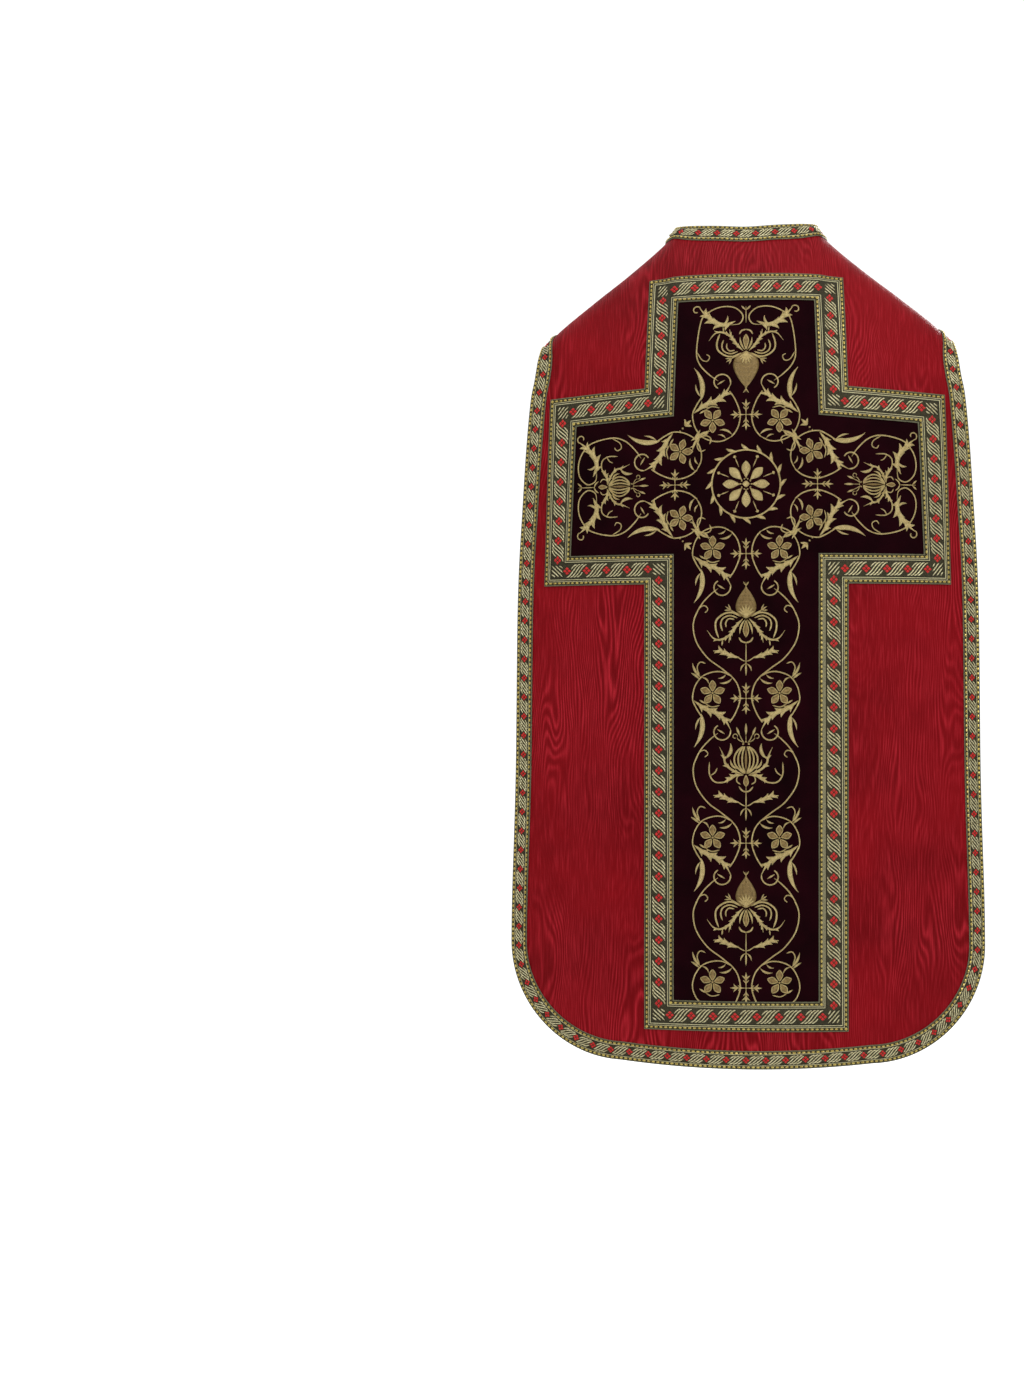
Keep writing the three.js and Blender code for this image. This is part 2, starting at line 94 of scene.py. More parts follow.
SECTIONS = (
    Section(0, 44, 48, 62, 60),
    Section(45, 40, 48, 62, 60),
    Section(92, 19, 48, 62, 60),
    Section(107, 0, 48, 62, 60),
    Section(156, -42, 47, 63, 61),
    Section(205, -80, 45, 65, 63),
    Section(258, -124, 40, 68, 66),
    Section(300, -172, 32, 70, 69),
    Section(340, -220, 20, 72, 72),
)


@dataclass(frozen=True)
class Hem:
    """The rounded foot of a sheet.

    Its side ends at side and height. From there a corner of that width drops, and then the hem sags
    to its middle.
    """

    side: float
    height: float
    corner: float
    drop: float
    sag: float


@dataclass(frozen=True)
class Cross:
    """The back cross, as distances from the centre line and from the top of the cut.

    The top of an arm is arm_droop lower at its end, where it turns over the shoulder. The head is
    top_taper narrower at each side of its top, and an arm is arm_flare longer along its foot.
    """

    half: float = 132.5 * MM
    top_taper: float = 5 * MM
    arm: float = 266 * MM
    arm_flare: float = 8 * MM
    top: float = 50 * MM
    arm_top: float = 207 * MM
    arm_droop: float = 8 * MM
    arm_foot: float = 464 * MM
    foot: float = 1043 * MM

    def corners(self, drawn_in: float) -> Array:
        """Gives the outline's corners, clockwise as seen from outside.

        Args:
            drawn_in: How far inside the outer edge the outline lies.

        Returns:
            The twelve corners, from the +X top corner down.
        """
        half, arm = self.half - drawn_in, self.arm - drawn_in
        right = np.array([
            [half - self.top_taper, self.top + drawn_in],
            [half, self.arm_top + drawn_in],
            [arm, self.arm_top + self.arm_droop + drawn_in],
            [arm + self.arm_flare, self.arm_foot - drawn_in],
            [half, self.arm_foot - drawn_in],
            [half, self.foot - drawn_in],
        ])
        return np.vstack([right, other_side(right)[::-1]])

    def centre(self) -> float:
        """Gives the height of the crossing on the cut."""
        return (self.arm_top + self.arm_foot) / 2


@dataclass(frozen=True)
class Fold:
    """A soft upright trough (depth below 0) or ridge in the hanging cloth."""

    side: float
    top: float
    foot: float
    width: float
    depth: float


class Face(Enum):
    """Which way a sheet faces, as the sign of Y."""

    BACK = 1
    FRONT = -1


def other_side(line: Array) -> Array:
    """Mirrors flat points to the other side of the centre line."""
    return line * np.array([-1.0, 1.0])


def unit(vectors: Array) -> Array:
    """Scales each vector to length one."""
    return vectors / np.maximum(np.linalg.norm(vectors, axis=-1, keepdims=True), 1e-12)


def read_sections(column: str, side: Array) -> Array:
    """Reads one column of the section table as a smooth curve.

    Args:
        column: The column's name.
        side: Distances from the centre line, in metres.

    Returns:
        The column's values there, in the table's own units.
    """
    places = np.array([row.side for row in SECTIONS]) * MM
    values = np.array([getattr(row, column) for row in SECTIONS], dtype=float)
    slopes = np.zeros(len(values))
    slopes[1:-1] = (values[2:] - values[:-2]) / (places[2:] - places[:-2])
    slopes[-1] = (values[-1] - values[-2]) / (places[-1] - places[-2])
    row = np.clip(np.searchsorted(places, side) - 1, 0, len(values) - 2)
    span = places[row + 1] - places[row]
    u = (side - places[row]) / span
    rise = u * u * (3 - 2 * u)
    leave = span * slopes[row] * u * (1 - u) ** 2
    arrive = span * slopes[row + 1] * u * u * (u - 1)
    return values[row] + (values[row + 1] - values[row]) * rise + leave + arrive


def cut_width(worn: Array) -> Array:
    """Turns a worn distance from the centre into one on the flat cut."""
    return worn + worn**3 / (6 * SIDE_RADIUS**2)


def worn_side(cut: Array) -> Array:
    """Turns a distance on the flat cut into a worn one.

    Args:
        cut: Distances from the centre line on the cut.

    Returns:
        The same distances when worn.
    """
    worn = np.array(cut, dtype=float)
    rounds = 6
    for _ in range(rounds):
        worn -= (cut_width(worn) - cut) / (1 + worn**2 / (2 * SIDE_RADIUS**2))
    return worn


@dataclass(frozen=True)
class Sheet:
    """A sheet of cloth that hangs over the shoulders on one side of the body."""

    face: Face
    depth: float
    folds: tuple[Fold, ...]

    def section(self, side: Array) -> dict[str, Array]:
        """Works out the curve of the cloth at distances from the centre line.

        Args:
            side: Worn distances from the centre line.

        Returns:
            By name: the ridge's height, the bend, the gentle bend and the lean between them, the
            lengths of both bends, and the slack that they take up.
        """
        ridge = read_sections("ridge", side) * MM
        bend = read_sections("bend", side) * MM
        lean = np.radians(read_sections(self.face.name.lower(), side))
        depth = self.depth - side**2 / (2 * SIDE_RADIUS)
        gentle = (depth - bend * np.sin(lean)) / (1 - np.sin(lean))
        fold = bend * lean
        ease = gentle * (math.pi / 2 - lean)
        height = bend * (1 - np.cos(lean)) + gentle * np.cos(lean)
        return {"ridge": ridge, "bend": bend, "lean": lean, "gentle": gentle,
                "fold": fold, "ease": ease, "slack": fold + ease - height}

    def fold_depth(self, flat: Array) -> Array:
        """Adds up the soft folds at flat points.

        Args:
            flat: Points on the cut.

        Returns:
            How far the folds move each point outward.
        """
        total = np.zeros(len(flat))
        for row in self.folds:
            across = np.exp(-(((flat[:, 0] - row.side) / row.width) ** 2))
            down = np.clip((flat[:, 1] - row.top) / (row.foot - row.top), 0, 1)
            total += row.depth * across * np.sin(np.pi * down) ** 2
        return total

    def worn(self, flat: Array) -> Array:
        """Bends flat points over the body.

        Args:
            flat: Points on the cut, one row each.

        Returns:
            Where they lie when the garment is worn.
        """
        x = worn_side(flat[:, 0])
        c = self.section(np.abs(x))
        along = flat[:, 1] + c["ridge"] + c["slack"]
        over = along / c["bend"]
        eased = np.clip(c["lean"] + (along - c["fold"]) / c["gentle"], c["lean"], math.pi / 2)
        on_fold = along < c["fold"]
        hanging = along >= c["fold"] + c["ease"]
        out = np.where(
            on_fold,
            c["bend"] * np.sin(over),
            c["bend"] * np.sin(c["lean"]) + c["gentle"] * (np.sin(eased) - np.sin(c["lean"])),
        )
        down = np.where(
            on_fold,
            c["bend"] * (1 - np.cos(over)),
            c["bend"] * (1 - np.cos(c["lean"])) + c["gentle"] * (np.cos(c["lean"]) - np.cos(eased)),
        )
        down = np.where(hanging, along - c["slack"], down)
        out = out + self.fold_depth(flat)
        return np.stack([x, self.face.value * out, c["ridge"] - down], axis=1)

    def run(self, flat: Array) -> tuple[Array, Array, Array]:
        """Gives how the worn cloth runs: across, down, and square to its face.

        Args:
            flat: Points on the cut.

        Returns:
            The three directions, of which only the last has length one.
        """
        reach = 0.25 * MM
        across, down = ((self.worn(flat + step) - self.worn(flat - step)) / (2 * reach)
                        for step in np.eye(2) * reach)
        return across, down, unit(np.cross(across, down))

    def lifted(self, flat: Array, lift: Array | float) -> Array:
        """Bends flat points over the body and lifts them off the cloth's face.

        Args:
            flat: Points on the cut.
            lift: How far each is lifted.

        Returns:
            Where they lie when worn.
        """
        turn = self.run(flat)[2]
        lift = np.broadcast_to(lift, (len(flat),))[:, None]
        return self.worn(flat) + turn * self.face.value * lift

    def out(self, flat: Array) -> Array:
        """Gives the outward direction of the cloth's face at flat points."""
        return self.run(flat)[2] * self.face.value

    def move_square(self, flat: Array, heading: Array, distance: float) -> Array:
        """Moves flat points by a true distance over the cloth, square to flat headings.

        Args:
            flat: Points on the cut.
            heading: The line's flat direction at each point.
            distance: How far they move over the cloth.

        Returns:
            The moved flat points.
        """
        parts = 3
        moved = flat.copy()
        for _ in range(parts):
            across, down, turn = self.run(moved)
            worn = across * heading[:, :1] + down * heading[:, 1:]
            square = unit(np.cross(turn, worn)) * distance / parts
            aa, ad, dd, sa, sd = ((a * b).sum(axis=1) for a, b in (
                (across, across), (across, down), (down, down), (square, across), (square, down)))
            area = aa * dd - ad * ad
            moved[:, 0] += (sa * dd - sd * ad) / area
            moved[:, 1] += (sd * aa - sa * ad) / area
        return moved

    def on_ridge(self, side: float | Array, past: float | Array = 0.0) -> Array:
        """Gives flat points on the shoulder line, or a little past it down the cloth.

        Args:
            side: Worn distances from the centre line.
            past: How far past the line, on the cut.

        Returns:
            The flat points.
        """
        side = np.atleast_1d(np.asarray(side, dtype=float))
        c = self.section(np.abs(side))
        flat_side = np.sign(side) * cut_width(np.abs(side))
        return np.stack([flat_side, past - c["ridge"] - c["slack"]], axis=1)

    def at_height(self, side: float | Array, height: float | Array) -> Array:
        """Gives flat points from worn distances and heights.

        Args:
            side: Worn distances from the centre line.
            height: Worn heights.

        Returns:
            The flat points.
        """
        flat = self.on_ridge(side)
        step, finest = 1024 * MM, 0.01 * MM
        while step > finest:
            lower = flat + np.array([0.0, step])
            above = self.worn(lower)[:, 2] > height
            flat[above] = lower[above]
            step /= 2
        return flat


def smooth_line(points: Array, step: float) -> Array:
    """Draws a smooth curve through points.

    Args:
        points: The points, in order.
        step: The distance between the curve's own points.

    Returns:
        Evenly spaced points on the curve, with both ends.
    """
    padded = np.vstack([points[:1], points, points[-1:]])
    fine, parts = [], 24
    for k in range(len(points) - 1):
        p0, p1, p2, p3 = padded[k:k + 4]
        t = np.linspace(0, 1, parts, endpoint=False)[:, None]
        v0, v1 = (p2 - p0) / 2, (p3 - p1) / 2
        cubic, square = 2 * (p1 - p2) + v0 + v1, 3 * (p2 - p1) - 2 * v0 - v1
        fine.append(cubic * t**3 + square * t**2 + v0 * t + p1)
    return even(np.vstack([*fine, points[-1:]]), step)


def lengths(line: Array) -> Array:
    """Gives each point's distance along a line."""
    return np.concatenate([[0.0], np.cumsum(np.linalg.norm(np.diff(line, axis=0), axis=1))])


def even(line: Array, step: float) -> Array:
    """Spaces a line's points evenly, and keeps both ends.

    Args:
        line: The line's points.
        step: About how far apart they are to be.

    Returns:
        The new points.
    """
    along = lengths(line)
    count = max(1, round(along[-1] / step))
    places = np.linspace(0, along[-1], count + 1)
    return np.stack([np.interp(places, along, line[:, k]) for k in range(line.shape[1])], axis=1)


def headings(line: Array) -> Array:
    """Gives the direction of a line at each point."""
    return unit(np.gradient(line, axis=0))


def is_inside(outline: Array, points: Array) -> Array:
    """Tells which points lie inside a closed outline.

    Args:
        outline: The outline's points.
        points: The points to test.

    Returns:
        One truth value for each.
    """
    inside = np.zeros(len(points), dtype=bool)
    x, y = points[:, 0], points[:, 1]
    for a, b in zip(outline, np.roll(outline, -1, axis=0)):
        if a[1] == b[1]:
            continue
        crosses = (a[1] > y) != (b[1] > y)
        inside ^= crosses & (x < (b[0] - a[0]) * (y - a[1]) / (b[1] - a[1]) + a[0])
    return inside


def fill(outline: Array, step: float) -> tuple[Array, Array]:
    """Cuts the inside of a flat outline into small, even triangles.

    Args:
        outline: The closed outline's points.
        step: The size of a triangle.

    Returns:
        The points, with the outline's first, and the triangles.
    """
    low, high = outline.min(axis=0), outline.max(axis=0)
    row_height = step * math.sqrt(3) / 2
    rows = []
    for row, y in enumerate(np.arange(low[1] + row_height / 2, high[1], row_height)):
        x = np.arange(low[0] + (row % 2) * step / 2, high[0], step)
        rows.append(np.stack([x, np.full(len(x), y)], axis=1))
    grid = np.vstack(rows)
    grid = grid[is_inside(outline, grid)]
    nearest = 0.6 * step
    clear = np.array([np.linalg.norm(outline - p, axis=1).min() for p in grid]) > nearest
    points = np.vstack([outline, grid[clear]])
    count = len(outline)
    edges = [(k, (k + 1) % count) for k in range(count)]
    inside_only, same_point = 1, 1e-9
    made = geometry.delaunay_2d_cdt([Vector(p) for p in points], edges, [], inside_only, same_point)
    return np.array([tuple(v) for v in made[0]]), np.array([tuple(f) for f in made[2]])


def border_edges(triangles: Array) -> Array:
    """Finds the sides that only one triangle has, in that triangle's direction.

    Args:
        triangles: The triangles, as numbers of points.

    Returns:
        The sides, as pairs of numbers.
    """
    sides = np.vstack([triangles[:, [0, 1]], triangles[:, [1, 2]], triangles[:, [2, 0]]])
    known = {(a, b) for a, b in sides.tolist()}
    return np.array([(a, b) for a, b in sides.tolist() if (b, a) not in known])


def in_scene(name: str, data: bpy.types.ID) -> Object:
    """Puts new data into the scene.

    Args:
        name: The object's name.
        data: Its mesh, curve, light or camera.

    Returns:
        The object.
    """
    made = bpy.data.objects.new(name, data)
    bpy.context.scene.collection.objects.link(made)
    return made


def mesh_object(name: str, points: Array, faces: list, uv: Array, smooth: bool = True) -> Object:
    """Makes a mesh object with a UV map.

    Args:
        name: The object's name.
        points: The corners' places.
        faces: Each face's corners, in order round it.
        uv: Each corner's place on the map.
        smooth: Whether the faces are shaded smooth.

    Returns:
        The new object, in the scene.
    """
    mesh = bpy.data.meshes.new(name)
    mesh.from_pydata(points.tolist(), [], faces)
    layer = mesh.uv_layers.new(name="UVMap")
    corners = np.empty(len(mesh.loops), dtype=np.int32)
    mesh.loops.foreach_get("vertex_index", corners)
    layer.data.foreach_set("uv", uv[corners].astype(np.float32).ravel())
    mesh.polygons.foreach_set("use_smooth", np.full(len(mesh.polygons), smooth))
    mesh.validate()
    mesh.update()
    return in_scene(name, mesh)


def sharpen(piece: Object, degrees: float = 40) -> None:
    """Keeps edges crisp where a smooth-shaded mesh turns by more than an angle."""
    piece.data.set_sharp_from_angle(angle=math.radians(degrees))


def turn_outward(piece: Object) -> None:
    """Turns every face of a closed mesh outward.

    Args:
        piece: The mesh object.
    """
    work = bmesh.new()
    work.from_mesh(piece.data)
    bmesh.ops.recalc_face_normals(work, faces=work.faces)
    work.to_mesh(piece.data)
    work.free()
    piece.data.update()


def tube_faces(start: int, columns: int, count: int) -> list[tuple[int, ...]]:
    """Gives the faces of a closed tube whose points lie column by column.

    Args:
        start: The number of its first point.
        columns: How many columns run along it.
        count: How many points each column has.

    Returns:
        The faces of its sides and its two ends, as numbers of points.
    """
    ring = [start + k * count for k in range(columns)]
    sides = [(a + n, b + n, b + n + 1, a + n + 1)
             for a, b in zip(ring, ring[1:] + ring[:1]) for n in range(count - 1)]
    return sides + [tuple(reversed(ring)), tuple(column + count - 1 for column in ring)]


def shell(name: str, sheet: Sheet, outline: Array, low: float, high: float, step: float) -> Object:
    """Makes a closed thin wall from a flat outline, bent over the body.

    Args:
        name: The object's name.
        sheet: The sheet that it belongs to.
        outline: Its closed flat outline.
        low: The lift of its inner face off the sheet's face.
        high: The lift of its outer face.
        step: The size of its triangles.

    Returns:
        The new object, with the flat cut as its UV map.
    """
    flat, triangles = fill(outline, step)
    a, b, c = flat[triangles].transpose(1, 0, 2)
    area = np.cross(b - a, c - a)
    triangles[area < 0] = triangles[area < 0][:, ::-1]
    if sheet.face is Face.FRONT:
        triangles = triangles[:, ::-1]
    count = len(flat)
    points = np.vstack([sheet.lifted(flat, high), sheet.lifted(flat, low)])
    border = border_edges(triangles)
    rim = [(b, a, a + count, b + count) for a, b in border.tolist()]
    faces = triangles.tolist() + (triangles[:, ::-1] + count).tolist() + rim
    made = mesh_object(name, points, faces, np.vstack([flat, flat]))
    sharpen(made)
    return made


@dataclass
class Rails:
    """The two flat edges of a strip of trim, point for point, and the distance along it."""

    first: Array
    second: Array
    along_first: Array
    along_second: Array

    def at(self, fraction: float) -> tuple[Array, Array]:
        """Gives the line between the rails at a fraction of the width, and its distances.

        Args:
            fraction: The share of the width, from the first rail.

        Returns:
            The flat line and its distances.
        """
        line = self.first * (1 - fraction) + self.second * fraction
        along = self.along_first * (1 - fraction) + self.along_second * fraction
        return line, along


def rails_beside(sheet: Sheet, line: Array, width: float = NARROW) -> Rails:
    """Makes the rails of a strip that runs along an edge.

    Args:
        sheet: The sheet that it is sewn to.
        line: The flat edge.
        width: The strip's width.

    Returns:
        The rails, with the edge first.
    """
    second = sheet.move_square(line, headings(line), width)
    along = lengths(sheet.worn((line + second) / 2))
    return Rails(line, second, along, along)


def rails_straight(a: Array, b: Array, c: Array, d: Array) -> Rails:
    """Makes the rails of a straight strip, which may have mitred ends.

    Args:
        a: Where its first edge starts.
        b: Where its first edge ends.
        c: Where its second edge starts.
        d: Where its second edge ends.

    Returns:
        The rails.
    """
    heading = unit(b - a)
    count = max(2, round(np.linalg.norm(b - a) / TRIM_STEP))
    share = np.linspace(0, 1, count + 1)[:, None]
    first, second = a + (b - a) * share, c + (d - c) * share
    return Rails(first, second, (first - a) @ heading, (second - a) @ heading)


@dataclass(frozen=True)
class Weave:
    """The make-up of a galloon: its width and the places of its rows, as shares of the width."""

    width: float
    profile: tuple[Point, ...]
    bead_row: float
    centre_half: float
    lozenge: float
    motif_pitch: float


NARROW_WEAVE = Weave(
    NARROW,
    ((0.0, 0.7), (0.03, 1.0), (0.07, 0.95), (0.12, 1.1), (0.17, 0.95), (0.2, 0.8), (0.23, 1.0),
     (0.5, 1.04), (0.77, 1.0), (0.8, 0.8), (0.83, 0.95), (0.88, 1.1), (0.93, 0.95), (0.97, 1.0),
     (1.0, 0.7)),
    0.125, 5.4 * MM, 9.8 * MM, 25.5 * MM,
)
WIDE_WEAVE = Weave(
    WIDE,
    ((0.0, 0.7), (0.02, 1.0), (0.05, 0.95), (0.085, 1.1), (0.125, 0.95), (0.15, 0.8), (0.17, 1.0),
     (0.2, 1.0), (0.22, 0.8), (0.25, 1.0), (0.5, 1.04), (0.75, 1.0), (0.78, 0.8), (0.8, 1.0),
     (0.83, 1.0), (0.85, 0.8), (0.875, 0.95), (0.915, 1.1), (0.95, 0.95), (0.98, 1.0), (1.0, 0.7)),
    0.09, 8.4 * MM, 12.2 * MM, 27.4 * MM,
)


def strip(name: str, sheet: Sheet, rails: list[Rails], weave: Weave, base: float) -> Object:
    """Makes galloon along rails, with its woven rows standing slightly proud.

    Args:
        name: The object's name.
        sheet: The sheet that it is sewn to.
        rails: One pair of rails for each length of galloon.
        weave: The galloon's make-up.
        base: The lift of its underside off the sheet's face.

    Returns:
        The new object. Its UV map holds the distance along, in metres, and the share across.
    """
    flats, lifts, uvs, faces = [], [], [], []
    start = 0
    rows = (*weave.profile, (1.0, 0.0), (0.0, 0.0))
    for pair in rails:
        stations = len(pair.first)
        for share, height in rows:
            line, along = pair.at(share)
            flats.append(line)
            lifts.append(np.full(stations, base + height * GALLOON))
            uvs.append(np.stack([along, np.full(stations, share)], axis=1))
        faces += tube_faces(start, len(rows), stations)
        start += len(rows) * stations
    flat = np.vstack(flats)
    made = mesh_object(name, sheet.lifted(flat, np.concatenate(lifts)), faces, np.vstack(uvs))
    turn_outward(made)
    sharpen(made, 50)
    return made


class Net:
    """A node tree that is built in short calls."""

    def __init__(self, tree: NodeTree) -> None:
        """Keeps the tree."""
        self.tree = tree

    def add(self, kind: str, inputs: dict | None = None, **settings: object) -> Node:
        """Adds a node.

        Args:
            kind: The node's type.
            inputs: Values or sockets for its inputs, by name or number.
            settings: The node's own properties.

        Returns:
            The node.
        """
        node = self.tree.nodes.new(kind)
        for key, value in settings.items():
            setattr(node, key, value)
        self.set(node, inputs or {})
        return node

    def set(self, node: Node, inputs: dict) -> None:
        """Gives a node its inputs."""
        for key, value in inputs.items():
            self.feed(node.inputs[key], value)

    def feed(self, socket: NodeSocket, value: object) -> None:
        """Links a socket to an input, or sets the input's value.

        Args:
            socket: The input.
            value: Another node's output, or a plain value.
        """
        if isinstance(value, NodeSocket):
            self.tree.links.new(value, socket)
        else:
            socket.default_value = value

    def math(self, operation: str, *values: object) -> NodeSocket:
        """Adds a maths node."""
        return self.add("ShaderNodeMath", dict(enumerate(values)), operation=operation).outputs[0]

    def times(self, first: object, second: object) -> NodeSocket:
        """Multiplies two values or sockets."""
        return self.math("MULTIPLY", first, second)

    def plus(self, first: object, second: object) -> NodeSocket:
        """Adds two values or sockets."""
        return self.math("ADD", first, second)

    def spread(self, value: object, before: Point, after: Point) -> NodeSocket:
        """Adds a node that maps one range of values to another."""
        ends = dict(zip(("From Min", "From Max", "To Min", "To Max"), before + after))
        return self.add("ShaderNodeMapRange", {"Value": value, **ends}).outputs[0]

    def mix(self, share: object, first: object, second: object) -> NodeSocket:
        """Adds a mix of two colours.

        Args:
            share: How much of the second colour there is, as a value or socket.
            first: The first colour.
            second: The second colour.

        Returns:
            The mixed colour.
        """
        node = self.add("ShaderNodeMix", data_type="RGBA")
        sockets = {s.identifier: s for s in (*node.inputs, *node.outputs)}
        for name, value in (("Factor_Float", share), ("A_Color", first), ("B_Color", second)):
            self.feed(sockets[name], value)
        return sockets["Result_Color"]

    def ramp(self, value: object, stops: tuple, hard: bool = False) -> NodeSocket:
        """Adds a colour ramp.

        Args:
            value: The place on the ramp.
            stops: Each stop's place and colour.
            hard: Whether each colour holds until the next one.

        Returns:
            The colour.
        """
        node = self.add("ShaderNodeValToRGB", {"Fac": value})
        node.color_ramp.interpolation = "CONSTANT" if hard else "LINEAR"
        elements = node.color_ramp.elements
        while len(elements) < len(stops):
            elements.new(1.0)
        for element, (place, shade) in zip(elements, stops):
            element.position = place
            element.color = shade
        return node.outputs["Color"]

    def noise(self, place: object, scale: float, detail: float, roughness: float = 0.5) -> NodeSocket:
        """Adds a noise."""
        return self.add("ShaderNodeTexNoise", {"Vector": place, "Scale": scale, "Detail": detail,
                                               "Roughness": roughness}).outputs[0]

    def group(self, tree: NodeTree, inputs: dict) -> bpy.types.bpy_prop_collection:
        """Places a shared group and gives its outputs."""
        return self.add("ShaderNodeGroup", inputs, node_tree=tree).outputs


def colour(red: int, green: int, blue: int) -> tuple[float, float, float, float]:
    """Turns a screen colour into the renderer's linear one.

    Args:
        red: Red, from 0 to 255.
        green: Green.
        blue: Blue.

    Returns:
        The linear colour, opaque.
    """
    def linear(value: int) -> float:
        """Turns one channel linear."""
        share = value / 255
        return share / 12.92 if share <= 0.04045 else ((share + 0.055) / 1.055) ** 2.4

    return (linear(red), linear(green), linear(blue), 1.0)


def new_tree(name: str, inputs: tuple, outputs: tuple,
             kind: str = "ShaderNodeTree") -> tuple[Net, Node, Node]:
    """Starts a node tree with named sockets.

    Args:
        name: The tree's name.
        inputs: Each input's name, the end of its socket's type, and its value or None.
        outputs: Each output's name and the end of its socket's type.
        kind: The tree's type.

    Returns:
        The tree's net and its input and output nodes.
    """
    tree = bpy.data.node_groups.new(name, kind)
    for label, socket_type, value in inputs:
        kind_name = f"NodeSocket{socket_type}"
        socket = tree.interface.new_socket(label, in_out="INPUT", socket_type=kind_name)
        if value is not None:
            socket.default_value = value
    for label, socket_type in outputs:
        tree.interface.new_socket(label, in_out="OUTPUT", socket_type=f"NodeSocket{socket_type}")
    net = Net(tree)
    return net, net.add("NodeGroupInput"), net.add("NodeGroupOutput")


def thread_group() -> NodeTree:
    """Makes the group for fine parallel threads, from a cut's coordinates: a height, and a value that is
    low in the grooves and high on the crowns, with some random tone, for painted shade and painted
    highlight.

    Returns:
        The group.
    """
    net, start, end = new_tree(
        "Threads",
        (("Across", "Float", 0.0), ("Along", "Float", 0.0), ("Pitch", "Float", 0.6 * MM),
         ("Unevenness", "Float", 0.4)),
        (("Height", "Float"), ("Painted shade, highlight and tone", "Float")),
    )
    across, along = start.outputs["Across"], start.outputs["Along"]
    turns = net.times(net.math("DIVIDE", across, start.outputs["Pitch"]), 2 * math.pi)
    place = net.add("ShaderNodeCombineXYZ", {
        "X": net.times(across, 260.0), "Y": net.times(along, 45.0)})
    noise = net.noise(place.outputs[0], 1.0, 2.0)
    uneven = net.times(net.math("SUBTRACT", noise, 0.5), start.outputs["Unevenness"])
    wave = net.math("SINE", net.plus(turns, net.times(uneven, 6.0)))
    height = net.plus(net.times(wave, 0.5), 0.5)
    # The second output follows the height: painted shade in the grooves between threads and painted
    # highlight on their crowns, plus random unevenness.
    net.set(end, {"Height": height, "Painted shade, highlight and tone": net.plus(net.times(height, 0.5), uneven)})
    return net.tree


def cloud_group() -> NodeTree:
    """Makes the group for slow, cloudy variation over a piece of cloth.

    Returns:
        The group.
    """
    net, start, end = new_tree(
        "Cloth clouds", (("Vector", "Vector", None), ("Scale", "Float", 9.0)), (("Cloud", "Float"),))
    net.set(end, {"Cloud": net.noise(start.outputs["Vector"], start.outputs["Scale"], 3.0, 0.6)})
    return net.tree


def watering_group() -> NodeTree:
    """Makes the group for the pressed figure of watered silk, from a cut's coordinates.

    Returns:
        The group.
    """
    net, start, end = new_tree(
        "Watering",
        (("Across", "Float", 0.0), ("Along", "Float", 0.0), ("Lines per metre", "Float", 215.0),
         ("Swirl", "Float", 30.0)),
        (("Figure", "Float"), ("Shadow", "Float"), ("Streak", "Float")),
    )
    across, along = start.outputs["Across"], start.outputs["Along"]

    def stretched(across_scale: float, along_scale: float, offset: float, detail: float) -> NodeSocket:
        """Adds a noise that is stretched along the cloth.

        Args:
            across_scale: How fine it is across.
            along_scale: How fine it is along.
            offset: Where it is cut, so that no two noises agree.
            detail: How many finer layers it has.

        Returns:
            Its value.
        """
        place = net.add("ShaderNodeCombineXYZ", {
            "X": net.times(across, across_scale), "Y": net.times(along, along_scale), "Z": offset})
        return net.noise(place.outputs[0], 1.0, detail)

    lines = net.plus(net.times(across, start.outputs["Lines per metre"]),
                     net.times(stretched(14.0, 3.4, 0.0, 1.6), start.outputs["Swirl"]))
    wave = net.plus(net.times(net.math("SINE", net.times(lines, 2 * math.pi)), 0.5), 0.5)
    streak = stretched(700.0, 26.0, 1.0, 2.0)
    broken = net.spread(streak, (0.4, 0.62), (0.0, 1.0))
    strong = net.spread(stretched(9.0, 4.2, 3.0, 2.0), (0.4, 0.62), (0.1, 1.0))
    pressed = net.times(net.math("POWER", wave, 1.6), strong)
    net.set(end, {
        "Figure": net.times(pressed, net.plus(net.times(broken, 0.55), 0.4)),
        "Shadow": net.times(net.math("SUBTRACT", 1.0, wave), strong),
        "Streak": streak,
    })
    return net.tree


class Groups:
    """The effects that several finishes share."""

    def __init__(self) -> None:
        """Builds the groups."""
        self.threads = thread_group()
        self.clouds = cloud_group()
        self.watering = watering_group()


class Finish(Net):
    """The net of a new material, with its shader."""

    def __init__(self, name: str) -> None:
        """Starts the material.

        Args:
            name: The material's name.
        """
        self.material = bpy.data.materials.new(name)
        self.material.use_nodes = True
        super().__init__(self.material.node_tree)
        self.shader = self.tree.nodes["Principled BSDF"]

    def cut(self) -> tuple[NodeSocket, NodeSocket, NodeSocket]:
        """Reads a piece's UV map.

        Returns:
            The map, and its two coordinates.
        """
        place = self.add("ShaderNodeUVMap", uv_map="UVMap").outputs[0]
        parts = self.add("ShaderNodeSeparateXYZ", {"Vector": place}).outputs
        return place, parts["X"], parts["Y"]

    def dress(self, inputs: dict, height: object, distance: float) -> Material:
        """Ends a material.

        Args:
            inputs: The shader's values or sockets, by name.
            height: The height that its bump follows.
            distance: How far the bump stands up, in metres.

        Returns:
            The material.
        """
        bump = self.add("ShaderNodeBump", {"Height": height, "Distance": distance})
        self.set(self.shader, {**inputs, "Normal": bump.outputs["Normal"]})
        return self.material


